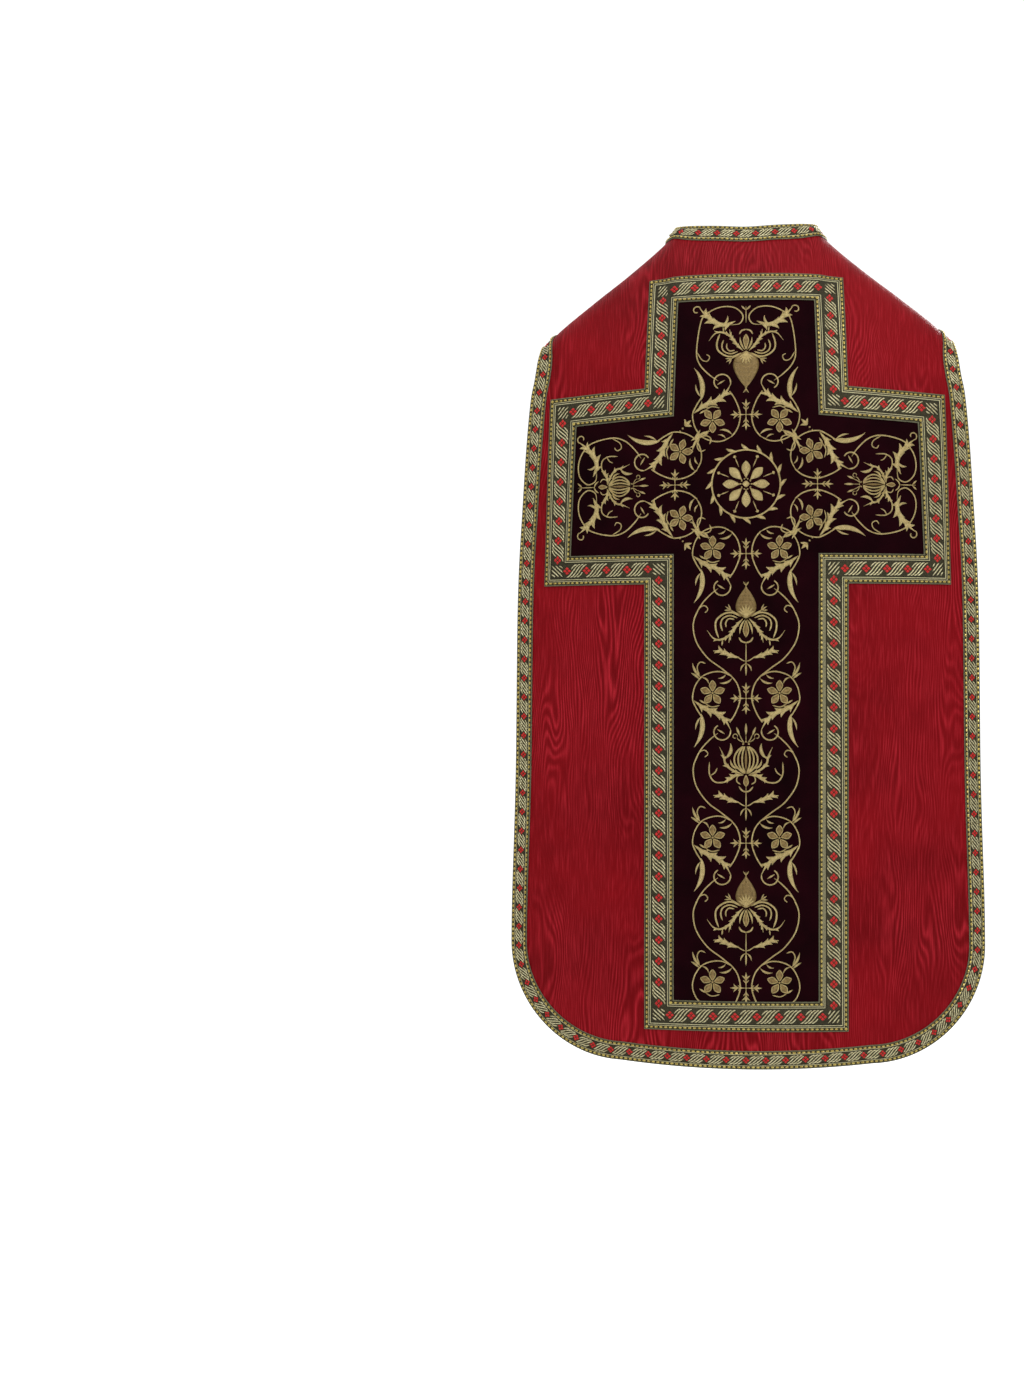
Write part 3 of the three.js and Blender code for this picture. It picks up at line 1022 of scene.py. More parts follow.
@dataclass(frozen=True)
class WateredSilk:
    """Red watered silk: fine upright ribs, pressed into a figure like wood grain."""

    name: str
    turned: bool = False
    base: tuple = colour(141, 14, 22)
    light: tuple = colour(194, 41, 53)
    dark: tuple = colour(112, 8, 14)

    def build(self, groups: Groups) -> Material:
        """Builds the material.

        Args:
            groups: The shared effects.

        Returns:
            The material.
        """
        net = Finish(self.name)
        cut, x, y = net.cut()
        across, along = (y, x) if self.turned else (x, y)
        water = net.group(groups.watering, {"Across": across, "Along": along})
        cloud = net.group(groups.clouds, {"Vector": cut, "Scale": 5.0})["Cloud"]
        ground = net.ramp(cloud, ((0.32, self.dark), (0.6, self.base)))
        fine = net.spread(water["Streak"], (0.5, 0.7), (0.0, 0.42))
        toned = net.mix(fine, net.mix(water["Figure"], ground, self.light), self.light)
        ribs = net.group(groups.threads, {
            "Across": along, "Along": across, "Pitch": 1.1 * MM})["Height"]
        return net.dress({
            "Base Color": net.mix(net.times(water["Shadow"], 0.55), toned, self.dark),
            "Roughness": net.spread(water["Streak"], (0.35, 0.65), (0.58, 0.42)),
            "Sheen Weight": 0.22, "Sheen Roughness": 0.22, "Sheen Tint": colour(235, 66, 84),
            "Specular IOR Level": 0.26, "Specular Tint": colour(255, 110, 122),
        }, net.plus(net.times(ribs, 0.4), net.times(water["Streak"], 1.2)), 0.18 * MM)


@dataclass(frozen=True)
class PlainLining:
    """Plain red lining cloth."""

    name: str = "Red lining"

    def build(self, groups: Groups) -> Material:
        """Builds the material.

        Args:
            groups: The shared effects.

        Returns:
            The material.
        """
        net = Finish(self.name)
        cut, x, y = net.cut()
        cloud = net.group(groups.clouds, {"Vector": cut, "Scale": 14.0})["Cloud"]
        warp, weft = (
            net.group(groups.threads, {"Across": a, "Along": b, "Pitch": 0.9 * MM})["Height"]
            for a, b in ((x, y), (y, x)))
        return net.dress({
            "Base Color": net.ramp(cloud, ((0.3, colour(112, 12, 24)), (0.7, colour(140, 18, 32)))),
            "Roughness": 0.62, "Sheen Weight": 0.15,
        }, net.plus(warp, weft), 0.12 * MM)


@dataclass(frozen=True)
class DarkVelvet:
    """Near-black burgundy velvet with a soft nap."""

    name: str = "Dark velvet"

    def build(self, groups: Groups) -> Material:
        """Builds the material.

        Args:
            groups: The shared effects.

        Returns:
            The material.
        """
        net = Finish(self.name)
        cut, _x, _y = net.cut()
        cloud = net.group(groups.clouds, {"Vector": cut, "Scale": 11.0})["Cloud"]
        nap = net.noise(cut, 900.0, 2.0)
        tone = net.plus(net.times(cloud, 0.6), net.times(nap, 0.4))
        return net.dress({
            "Base Color": net.ramp(tone, ((0.35, colour(15, 2, 5)), (0.7, colour(40, 4, 13)))),
            "Roughness": 0.95, "Specular IOR Level": 0.05,
            "Sheen Weight": 0.05, "Sheen Roughness": 0.35, "Sheen Tint": colour(150, 30, 60),
        }, nap, 0.25 * MM)


@dataclass(frozen=True)
class WovenGalloon:
    """Metallic galloon: bands across its width, and a close weave."""

    name: str
    bands: tuple

    def build(self, groups: Groups) -> Material:
        """Builds the material.

        Args:
            groups: The shared effects, which this finish doesn't use.

        Returns:
            The material.
        """
        net = Finish(self.name)
        _cut, along, share = net.cut()
        place = net.add("ShaderNodeCombineXYZ", {"X": along, "Y": net.times(share, 0.03)})
        flecks = net.add("ShaderNodeTexVoronoi", {"Vector": place.outputs[0], "Scale": 1300.0})
        fleck = flecks.outputs["Distance"]
        banded = net.ramp(share, self.bands, hard=True)
        deep = net.mix(0.4, banded, colour(10, 9, 6))
        pale = net.mix(0.07, banded, colour(238, 230, 184))
        return net.dress({
            "Base Color": net.mix(net.times(fleck, 1.3), deep, pale),
            "Metallic": 0.55, "Specular IOR Level": 0.2, "Roughness": 0.42,
        }, fleck, 0.4 * MM)


@dataclass(frozen=True)
class GoldThread:
    """Satin-stitched metal thread, laid side by side across each shape. Its colour carries painted
    light: light on the thread crowns as a painted highlight, dark in the grooves between them as painted
    shade.
    """

    name: str = "Gold thread"
    # light is the painted highlight on the thread crowns, dark the painted shade in the grooves
    light: tuple = colour(255, 236, 168)
    dark: tuple = colour(150, 116, 52)
    pitch: float = 0.8 * MM
    slant: float = 0.8
    metallic: float = 0.35

    def build(self, groups: Groups) -> Material:
        """Builds the material.

        Args:
            groups: The shared effects.

        Returns:
            The material.
        """
        net = Finish(self.name)
        _cut, along, across = net.cut()
        slanted = net.plus(along, net.times(net.math("ABSOLUTE", across), self.slant))
        threads = net.group(groups.threads, {
            "Across": slanted, "Along": across, "Pitch": self.pitch, "Unevenness": 0.5})
        return net.dress({
            # The colour follows the thread height: painted shade in the grooves, painted highlight on
            # the crowns.
            "Base Color": net.ramp(threads["Painted shade, highlight and tone"], ((0.05, self.dark), (0.45, self.light))),
            "Metallic": self.metallic, "Roughness": 0.38,
        }, threads["Height"], 0.22 * MM)


@dataclass(frozen=True)
class PlainThread:
    """Glossy thread of one colour, for the woven figures and bead rows."""

    name: str
    light: tuple
    dark: tuple
    metallic: float = 0.0
    roughness: float = 0.4

    def build(self, groups: Groups) -> Material:
        """Builds the material.

        Args:
            groups: The shared effects, which this finish doesn't use.

        Returns:
            The material.
        """
        net = Finish(self.name)
        fleck = net.noise(net.add("ShaderNodeTexCoord").outputs["Object"], 700.0, 2.0)
        return net.dress({
            "Base Color": net.ramp(fleck, ((0.35, self.dark), (0.6, self.light))),
            "Metallic": self.metallic, "Roughness": self.roughness,
        }, fleck, 0.2 * MM)


KHAKI = colour(34, 30, 16)
BORDER = colour(112, 112, 88)
BEAD_GROUND = colour(30, 26, 12)
PALE = colour(226, 218, 170)
INK = colour(7, 6, 4)


def mirrored_bands(half: tuple) -> tuple:
    """Makes the bands of a whole galloon from those of one half, each from its start.

    Args:
        half: Each band's start, as a share of the width, and its colour.

    Returns:
        The same for the whole width.
    """
    back = []
    ends = [place for place, _tone in half[1:]] + [0.5]
    for (_place, tone), end in zip(reversed(half[:-1]), reversed(ends[:-1])):
        back.append((1 - end, tone))
    return half + tuple(back)


NARROW_BANDS = mirrored_bands((
    (0.0, BORDER), (0.055, BEAD_GROUND), (0.185, PALE), (0.215, INK), (0.27, KHAKI),
))
WIDE_BANDS = mirrored_bands((
    (0.0, BORDER), (0.035, BEAD_GROUND), (0.135, PALE), (0.155, INK), (0.192, PALE), (0.218, INK),
    (0.256, KHAKI),
))


class Setting:
    """Sets small woven figures along trim with a geometry node tree."""

    def __init__(self) -> None:
        """Builds the two trees."""
        self.beads = self.bead_tree()
        self.figures = self.figure_tree()

    def finish_tree(self, net: Net, end: Node, placed: Node, finish: NodeSocket) -> NodeTree:
        """Ends a tree: its instances are made real and get their material.

        Args:
            net: The tree's net.
            end: Its output node.
            placed: The node that places the instances.
            finish: The socket that gives the material.

        Returns:
            The tree.
        """
        real = net.add("GeometryNodeRealizeInstances", {"Geometry": placed.outputs[0]})
        dressed = net.add("GeometryNodeSetMaterial", {"Geometry": real.outputs[0], "Material": finish})
        net.feed(end.inputs[0], dressed.outputs[0])
        return net.tree

    def bead_tree(self) -> NodeTree:
        """Makes the tree that threads long beads on a curve.

        Returns:
            The tree.
        """
        net, start_node, end = new_tree(
            "Bead row",
            (("Line", "Geometry", None), ("Pitch", "Float", 6.0 * MM), ("Length", "Float", 4.4 * MM),
             ("Width", "Float", 1.9 * MM), ("Finish", "Material", None)),
            (("Beads", "Geometry"),), "GeometryNodeTree")
        start = start_node.outputs
        spaced = net.add("GeometryNodeResampleCurve", {
            "Curve": start["Line"], "Length": start["Pitch"]}, mode="LENGTH")
        bead = net.add("GeometryNodeMeshUVSphere", {"Segments": 6, "Rings": 4, "Radius": 0.5})
        size = net.add("ShaderNodeCombineXYZ", {
            "X": start["Width"], "Y": start["Width"], "Z": start["Length"]})
        points = net.add("GeometryNodeCurveToPoints", {"Curve": spaced.outputs[0]}, mode="EVALUATED")
        placed = net.add("GeometryNodeInstanceOnPoints", {
            "Points": points.outputs["Points"], "Instance": bead.outputs["Mesh"],
            "Rotation": points.outputs["Rotation"], "Scale": size.outputs[0]})
        return self.finish_tree(net, end, placed, start["Finish"])

    def figure_tree(self) -> NodeTree:
        """Makes the tree that lays a flat figure at points that know their heading and face.

        Returns:
            The tree.
        """
        net, start_node, end = new_tree(
            "Woven figures",
            (("Places", "Geometry", None), ("Figure", "Object", None), ("Size", "Float", 1.0),
             ("Finish", "Material", None)),
            (("Figures", "Geometry"),), "GeometryNodeTree")
        start = start_node.outputs
        figure = net.add("GeometryNodeObjectInfo", {"Object": start["Figure"]})
        kind = "GeometryNodeInputNamedAttribute"
        out, along = (net.add(kind, {"Name": name}, data_type="FLOAT_VECTOR").outputs["Attribute"]
                      for name in ("out", "along"))
        turn = net.add("FunctionNodeAxesToRotation", {"Primary Axis": out, "Secondary Axis": along},
                       primary_axis="Z", secondary_axis="X")
        placed = net.add("GeometryNodeInstanceOnPoints", {
            "Points": start["Places"], "Instance": figure.outputs["Geometry"],
            "Rotation": turn.outputs[0], "Scale": start["Size"]})
        return self.finish_tree(net, end, placed, start["Finish"])

    def make(self, source: Object, tree: NodeTree, values: dict, name: str) -> Object:
        """Runs a tree on an object and turns the result into a plain mesh.

        Args:
            source: The line or the points, which are removed afterwards.
            tree: The tree.
            values: The tree's inputs by name.
            name: The new object's name.

        Returns:
            The finished object.
        """
        modifier = source.modifiers.new("Setting", "NODES")
        modifier.node_group = tree
        for item in tree.interface.items_tree:
            if item.item_type == "SOCKET" and item.in_out == "INPUT" and item.name in values:
                modifier[item.identifier] = values[item.name]
        graph = bpy.context.evaluated_depsgraph_get()
        mesh = bpy.data.meshes.new_from_object(source.evaluated_get(graph))
        mesh.name = name
        source.modifiers.remove(modifier)
        bpy.data.objects.remove(source)
        return in_scene(name, mesh)


def line_object(name: str, lines: list[Array]) -> Object:
    """Makes a curve object from lists of points.

    Args:
        name: The object's name.
        lines: The points of each line.

    Returns:
        The object.
    """
    curve = bpy.data.curves.new(name, "CURVE")
    curve.dimensions = "3D"
    for points in lines:
        spline = curve.splines.new("POLY")
        spline.points.add(len(points) - 1)
        spline.points.foreach_set("co", np.hstack([points, np.ones((len(points), 1))]).ravel())
    return in_scene(name, curve)


def place_object(name: str, points: Array, along: Array, out: Array) -> Object:
    """Makes a mesh of loose points that know their heading and the way they face.

    Args:
        name: The object's name.
        points: The places.
        along: The heading at each.
        out: The direction that each faces.

    Returns:
        The object.
    """
    mesh = bpy.data.meshes.new(name)
    mesh.from_pydata(points.tolist(), [], [])
    for label, values in (("along", along), ("out", out)):
        attribute = mesh.attributes.new(label, "FLOAT_VECTOR", "POINT")
        attribute.data.foreach_set("vector", values.astype(np.float32).ravel())
    return in_scene(name, mesh)


class Tone(Enum):
    """The thread of a ribbon, as the number of its material."""

    BRIGHT = 0
    DEEP = 1


@dataclass
class Ribbon:
    """A raised line of embroidery: its flat spine, half width and height at each point."""

    spine: Array
    half: Array
    height: Array
    tone: Tone = Tone.BRIGHT


def ribbon_mesh(name: str, ribbons: list[Ribbon], carrier: Sheet | None, base: float) -> Object:
    """Turns ribbons into one mesh of rounded, closed ridges.

    Args:
        name: The object's name.
        ribbons: The ribbons.
        carrier: The sheet that they lie on, or None to leave them flat.
        base: The lift of the face that they lie on.

    Returns:
        The new object, whose UV map holds the distances along and across.
    """
    rows = ((-1.0, 0.0), (-0.72, 0.7), (0.0, 1.0), (0.72, 0.7), (1.0, 0.0))  # across and up
    sunk = 0.25 * MM
    flats, lifts, uvs, faces, tones = [], [], [], [], []
    start = 0
    for ribbon in ribbons:
        count = len(ribbon.spine)
        heading = headings(ribbon.spine)
        square = np.stack([-heading[:, 1], heading[:, 0]], axis=1)
        along = lengths(ribbon.spine)
        for across, share in rows:
            flats.append(ribbon.spine + square * (ribbon.half * across)[:, None])
            lifts.append(base - sunk + (ribbon.height + sunk) * share)
            uvs.append(np.stack([along, ribbon.half * across], axis=1))
        sides = tube_faces(start, len(rows), count)
        faces += sides
        tones += [ribbon.tone.value] * len(sides)
        start += len(rows) * count
    flat, lift = np.vstack(flats), np.concatenate(lifts)
    points = carrier.lifted(flat, lift) if carrier else np.column_stack([flat, lift])
    made = mesh_object(name, points, faces, np.vstack(uvs))
    made.data.polygons.foreach_set("material_index", tones)
    turn_outward(made)
    return made


# Millimetres between the points of a drawing, and whole degrees in a radian
STEM_STEP = 2.2
LEAF_STEP = 1.6
PETAL_STEP = 1.5
FROND_STEP = 1.4
DEGREES_IN_RADIAN = 57


class Pen:
    """Draws embroidery in millimetres from a motif's own centre, with y down."""

    def __init__(self) -> None:
        """Starts with nothing drawn."""
        self.drawn: list[Ribbon] = []

    def line(self, spine: Array, width: float, start: float = 0.35, end: float = 0.35,
             height: float = 0.9) -> None:
        """Draws a stem of nearly even width.

        Args:
            spine: Its points.
            width: Its full width.
            start: The width's share that is left at its start.
            end: The share that is left at its end.
            height: How far it stands up.
        """
        u = np.linspace(0, 1, len(spine))
        slope = 8
        taper = np.minimum(1, np.minimum(start + u * slope, end + (1 - u) * slope))
        self.drawn.append(Ribbon(spine, width / 2 * taper, height * taper))

    def stem(self, points: list[Point], width: float = 1.7, **ends: float) -> None:
        """Draws a stem through a few points."""
        self.line(smooth_line(np.array(points, dtype=float), STEM_STEP), width, **ends)

    def upright(self, heights: tuple[float, ...], width: float, **ends: float) -> None:
        """Draws an upright stem on the motif's own centre line."""
        self.line(np.array([[0.0, float(y)] for y in heights]), width, **ends)

    def around(self, count: int, draw: Callable[["Pen"], None]) -> None:
        """Draws something several times, evenly turned about the motif's centre.

        Args:
            count: How many times.
            draw: A function that draws one with the pen that it is given.
        """
        one = Pen()
        draw(one)
        for k in range(count):
            self.stamp(one, (0, 0), k * 360 / count)

    def spiral(self, centre: Point, radii: Point, turn: Point,
               width: float = 1.7, **ends: float) -> None:
        """Draws part of a spiral.

        Args:
            centre: Its centre.
            radii: Its first and last radius.
            turn: Its first and last angle, in degrees from +x towards +y.
            width: The stem's width.
            ends: How the stem's ends taper.
        """
        sweep = abs(turn[1] - turn[0])
        count = max(6, int(sweep * max(radii) / DEGREES_IN_RADIAN / STEM_STEP))
        angle = np.radians(np.linspace(turn[0], turn[1], count))
        radius = np.linspace(radii[0], radii[1], count)
        arc = np.stack([radius * np.cos(angle), radius * np.sin(angle)], axis=1)
        self.line(arc + np.array(centre), width, **ends)

    def leaf(self, base: Point, tip: Point, width: float, bow: float = 0.0,
             full: float = 0.5, height: float = 1.3, tone: Tone = Tone.BRIGHT) -> None:
        """Draws a leaf or petal.

        Args:
            base: Where it grows from.
            tip: Its point.
            width: Its greatest width.
            bow: How far its spine bends sideways, as a share of its length.
            full: Where it is widest, from 0 at its base to 1 at its tip.
            height: How far it stands up.
            tone: Its thread.
        """
        a, b = np.array(base, dtype=float), np.array(tip, dtype=float)
        run = b - a
        side = np.array([-run[1], run[0]])
        u = np.linspace(0, 1, max(7, int(np.linalg.norm(run) / LEAF_STEP)))
        spine = a + run * u[:, None] + side * (4 * bow * u * (1 - u))[:, None]
        shape = np.sin(np.pi * u ** (math.log(0.5) / math.log(full))) ** 0.85
        shape = np.clip(shape, 0.1, 1)
        self.drawn.append(Ribbon(spine, width / 2 * shape, height * np.sqrt(shape), tone))

    def petal(self, base: Point, tip: Point, width: float, full: float = 0.5) -> None:
        """Draws a petal with a bright edge round a deep heart.

        Args:
            base: Where it grows from.
            tip: Its point.
            width: Its greatest width.
            full: Where it is widest, from 0 at its base to 1 at its tip.
        """
        a, b = np.array(base, dtype=float), np.array(tip, dtype=float)
        run = b - a
        side = np.array([-run[1], run[0]]) / np.linalg.norm(run)
        self.leaf(base, tip, width * 0.72, full=full, height=0.8, tone=Tone.DEEP)
        for sign in (-1, 1):
            middle = a + run * full + side * sign * width * 0.42
            self.line(smooth_line(np.array([a, middle, b]), PETAL_STEP), 1.5, height=1.15)

    def frond(self, points: list[Point], width: float, lobes: int = 4, spread: float = 32.0) -> None:
        """Draws a toothed acanthus leaf along a curve.

        Args:
            points: The curve of its rib, from its base.
            width: Its width with its teeth.
            lobes: How many teeth each side has.
            spread: The teeth's angle from the rib, in degrees.
        """
        spine = smooth_line(np.array(points, dtype=float), FROND_STEP)
        along = lengths(spine)
        total = along[-1]
        u = along / total
        body = np.clip(np.sin(np.pi * u**0.8) ** 0.8, 0.22, 1)
        self.drawn.append(Ribbon(spine, width * 0.22 * body, 1.25 * np.sqrt(body)))
        heading = headings(spine)
        for side in (1, -1):
            for k in range(lobes):
                place = (0.12 + 0.72 * (k + 0.25 * (side > 0)) / lobes) * total
                base = np.array([np.interp(place, along, spine[:, n]) for n in range(2)])
                run = np.array([np.interp(place, along, heading[:, n]) for n in range(2)])
                angle = math.radians(spread) * side
                turned = np.array([run[0] * math.cos(angle) - run[1] * math.sin(angle),
                                   run[0] * math.sin(angle) + run[1] * math.cos(angle)])
                reach = width * (0.55 + 0.4 * math.sin(math.pi * (0.2 + 0.7 * k / lobes)))
                self.leaf(tuple(base), tuple(base + turned * reach), max(2.0, reach * 0.42),
                          -0.14 * side, full=0.4, height=1.0)

    def dot(self, centre: Point, size: float) -> None:
        """Draws a small round knot."""
        x, y = centre
        self.leaf((x - size / 2, y), (x + size / 2, y), size, height=1.2)

    def both(self, draw: Callable[["Pen"], None]) -> None:
        """Draws something, and the same mirrored to the other side.

        Args:
            draw: A function that draws one side with the pen that it is given.
        """
        one = Pen()
        draw(one)
        self.drawn += one.drawn
        self.drawn += [Ribbon(other_side(r.spine), r.half, r.height, r.tone) for r in one.drawn]

    def stamp(self, other: "Pen", place: Point, degrees: float = 0.0, size: float = 1.0) -> None:
        """Adds another pen's drawing, turned and moved.

        Args:
            other: The other pen.
            place: Where its centre goes.
            degrees: How far it is turned.
            size: How much larger it becomes.
        """
        angle = math.radians(degrees)
        turn = np.array([[math.cos(angle), math.sin(angle)], [-math.sin(angle), math.cos(angle)]])
        for r in other.drawn:
            spine = r.spine @ turn * size + np.array(place)
            self.drawn.append(Ribbon(spine, r.half * size, r.height, r.tone))

    def scaled(self) -> list[Ribbon]:
        """Gives the drawing in metres."""
        return [Ribbon(r.spine * MM, r.half * MM, r.height * MM, r.tone) for r in self.drawn]


def draw_crosslet() -> Pen:
    """Draws a small cross whose four ends open into three leaves.

    Returns:
        The drawing.
    """
    pen = Pen()

    def arm(p: Pen) -> None:
        """Draws one arm.

        Args:
            p: The pen.
        """
        p.upright((0.5, 6, 12), 1.9, end=0.9)
        p.leaf((0, 10.5), (0, 20.5), 3.0, full=0.4)
        p.both(lambda half: half.leaf((0.3, 9.5), (5.6, 16), 2.1, 0.14))
        p.both(lambda half: half.leaf((0.6, 6.5), (3.6, 10.5), 1.7))

    pen.around(4, arm)
    pen.dot((0, 0), 3.0)
    return pen


def draw_flower() -> Pen:
    """Draws a small flower with five pointed petals.

    Returns:
        The drawing.
    """
    pen = Pen()
    pen.around(5, lambda p: p.petal((0, -2.0), (0, -16.5), 9.6, 0.56))
    pen.dot((0, 0), 3.0)
    return pen


def draw_ring(pen: Pen, open_foot: bool = False) -> None:
    """Draws one scroll that rings a flower beside a crosslet, with the leaves that it bears.

    Args:
        pen: The pen.
        open_foot: Whether the scroll closes at its foot, because no vine follows.
    """
    pen.stem([(19, -29), (12, -20), (8, -8), (8, 4), (14, 20), (21, 31)], 2.0, start=0.9, end=0.9)
    ring = [(18, -28), (30, -34), (43, -34), (57, -28), (66, -15), (69, 0)]
    if open_foot:
        pen.stem([*ring, (64, 14), (54, 22), (45, 24)], 1.9)
    else:
        pen.stem([*ring, (66, 10)], 1.9, end=0.9)
    pen.stamp(draw_flower(), (43, -7))
    pen.leaf((18, -26), (34, -20), 3.2, 0.16)
    pen.leaf((26, -31), (36, -26), 2.4, 0.16)
    pen.leaf((58, -27), (69, -46), 3.6, 0.1)
    pen.leaf((60, -25), (71, -33), 3.2, -0.05)
    pen.leaf((57, -27), (48, -19), 2.4, 0.2)
    pen.stem([(60, -30), (63, -40), (59, -47), (52, -45)], 1.8)
    pen.stem([(52, 7), (44, 11), (34, 9)], 1.6)
    pen.leaf((52, 7), (60, 2), 2.6)


def draw_acanthus(pen: Pen) -> None:
    """Draws the leaves that fall from a ring to the next vine, and the curl that takes them up.

    Args:
        pen: The pen.
    """
    pen.frond([(67, 3), (53, 13), (38, 19), (27, 28), (20, 40)], 14, 4)
    pen.stem([(69, 2), (64, 13), (57, 24)], 2.0, end=0.9)
    pen.leaf((58, 20), (67, 63), 7.0, 0.13, 0.4)
    pen.leaf((57, 23), (54, 43), 3.2, -0.12)
    pen.leaf((58, 24), (65, 41), 2.8, -0.1)
    pen.spiral((31.5, 43), (12, 9), (200, -60), 2.1, end=0.8)
    pen.leaf((27, 46), (37, 40), 2.4)


def draw_vine(pen: Pen, reach: float = 189.0) -> None:
    """Draws the heart-shaped vine from one crosslet down to the next.

    Args:
        pen: The pen.
        reach: The distance to the next crosslet.
    """
    pen.stem([(36, 45), (45, 52), (57, 65), (66, 82), (68, 97), (63, 116), (49, 135),
              (33, reach - 40), (19, reach - 29)], 2.0, end=0.9)
    pen.stem([(65, 81), (60, 70), (53, 67), (49, 72), (53, 76)], 1.6, end=0.8)


def draw_stalk(pen: Pen, top: float, foot: float) -> None:
    """Draws the upright stalk under a flower, with two toothed leaves and a forked foot.

    Args:
        pen: The pen.
        top: The stalk's upper end.
        foot: Its lower end.
    """
    pen.upright((top, (top + foot) / 2, foot), 1.8)
    pen.leaf((0, foot - 10), (0, foot + 7), 2.6)
    pen.both(lambda p: p.leaf((0.4, foot - 9), (7, foot + 1), 2.3, -0.15))
    leaf_at = top + (foot - top) * 0.42

    def pair(p: Pen) -> None:
        """Draws the leaf on one side.

        Args:
            p: The pen.
        """
        p.stem([(0.8, foot - 12), (5, leaf_at + 8), (12, leaf_at + 3)], 1.6)
        p.frond([(9, leaf_at + 5), (20, leaf_at + 2), (31, leaf_at - 3), (42, leaf_at - 4)],
                12, 3, 28)

    pen.both(pair)


def draw_lotus() -> Pen:
    """Draws an open flower with a ribbed heart, tall petals, curled sepals and stamens.

    Returns:
        The drawing.
    """
    pen = Pen()
    for strand in (-3, -2, -1, 1, 2, 3):
        reach = strand * 5.0
        pen.stem([(strand * 0.9, 17), (reach * 0.86, 7), (reach, -3), (reach * 0.72, -12),
                  (strand * 1.3, -18)], 2.5, start=0.5, end=0.4, height=1.3)
    pen.leaf((0, 14), (0, -16), 3.6, height=1.4, tone=Tone.DEEP)

    def half(p: Pen) -> None:
        """Draws one side's petals, sepals and stamens.

        Args:
            p: The pen.
        """
        p.frond([(4, 18), (17, 13), (26, 5), (29, -6), (34, -17)], 8, 3, 30)
        p.leaf((27, -2), (20, -22), 5.0, -0.18)
        p.leaf((10, 11), (20, -1), 3.2, 0.2)
        p.frond([(5, 19), (15, 20), (27, 27)], 9, 3, 28)
        p.stem([(14, 21), (27, 28), (40, 28), (47, 18), (47, 2)], 2.2, end=0.2)
        p.stem([(46, 20), (40, 16), (37, 10)], 1.8)
        p.stem([(3, 19), (10, 20), (12, 27), (7, 31)], 1.8)
        p.stem([(2, -22), (6, -28), (8, -33)], 1.3)
        p.leaf((8, -32), (12.5, -43), 3.4)
        p.stem([(3, -23), (9, -26), (11.5, -29.5)], 1.2)
        p.spiral((14, -31), (3.4, 2.6), (160, 480), 1.3)
        p.dot((3.6, -21), 2.6)
        p.stem([(9, 34), (5, 39), (0, 41)], 2.2)

    pen.both(half)
    pen.upright((-23, -28, -34), 1.3)
    pen.leaf((0, -32), (0, -48), 3.6)
    pen.dot((0, -24), 2.6)
    pen.petal((0, 34), (0, 19), 7.0, 0.4)
    return pen


def draw_pomegranate(bud: float = 1.0) -> Pen:
    """Draws a pointed, scaly bud over curling petals and toothed leaves.

    Args:
        bud: The bud's size, as a share of that in the column.

    Returns:
        The drawing.
    """
    pen = Pen()
    tip = -37 * bud
    pen.leaf((0, 3), (0, tip), 29 * bud, full=0.36, height=1.0, tone=Tone.DEEP)
    scale = 2.6 * bud
    rows = ((5, 9.6), (6, 10.2), (5, 8.2), (4, 5.8), (3, 3.6), (1, 0.0))  # scales, and their reach
    for row, (count, reach) in enumerate(rows):
        y = (-8 - 4.6 * row) * bud
        for x in np.linspace(-reach, reach, count) * bud:
            pen.leaf((x, y + scale), (x * 0.94, y - scale), 3.5 * bud, full=0.4, height=1.7,
                     tone=Tone.DEEP)
    pen.upright((tip + 3, tip - 1, tip - 6), 1.3)
    pen.both(lambda p: p.leaf((0, tip - 1), (3.6, tip - 7), 1.6))
    for lean in (-60, -40, -20, 0, 20, 40, 60):
        one = Pen()
        one.leaf((0, 4), (0, -17 + abs(lean) * 0.08), 3.4, full=0.45, height=2.0)
        pen.stamp(one, (0, 0), lean)

    def half(p: Pen) -> None:
        """Draws one side's petals and leaves.

        Args:
            p: The pen.
        """
        p.stem([(9, -1), (16, -5), (20, -7)], 1.7)
        for tip in ((23, -15), (27, -12), (28, -7)):
            p.leaf((19, -7), tip, 2.0)
        p.stem([(7, 1), (18, -4), (29, -2), (38, 6), (39, 17), (35, 29)], 2.6, end=0.3)
        p.stem([(11, 3), (21, 0), (30, 4), (32.5, 12), (30, 20)], 2.2, end=0.3)
        p.stem([(15, 5), (22, 4), (26, 9), (25.5, 15)], 2.0, end=0.3)
        p.frond([(4, 4), (14, 15), (20, 25), (22, 35)], 8.5, 4, 26)
        p.frond([(8, 8), (20, 24), (32, 31), (42, 29), (50, 19)], 7.5, 3, 24)
        p.leaf((30, 31), (31, 39), 2.2)
        p.leaf((1, 5), (8, 24), 3.0, -0.1)
        p.stem([(9, 28), (6, 33), (0, 35)], 2.4)

    pen.both(half)
    pen.petal((0, 28), (0, 6), 8.0, 0.4)
    return pen


def draw_unit(flower: Pen, reach: float = 189.0) -> Pen:
    """Draws one repeat: a crosslet, two rings, the vine and a flower on its stalk.

    Args:
        flower: The flower.
        reach: The distance to the next crosslet.

    Returns:
        The drawing.
    """
    pen = Pen()
    pen.stamp(draw_crosslet(), (0, 0))
    pen.both(draw_ring)
    pen.both(draw_acanthus)
    pen.both(lambda p: draw_vine(p, reach))
    pen.stamp(flower, (0, 80))
    draw_stalk(pen, 114, reach - 36)
    return pen


def draw_end() -> Pen:
    """Draws the last crosslet, with rings that close at their foot.

    Returns:
        The drawing.
    """
    pen = Pen()
    pen.stamp(draw_crosslet(), (0, 0))
    pen.both(lambda p: draw_ring(p, open_foot=True))
    return pen


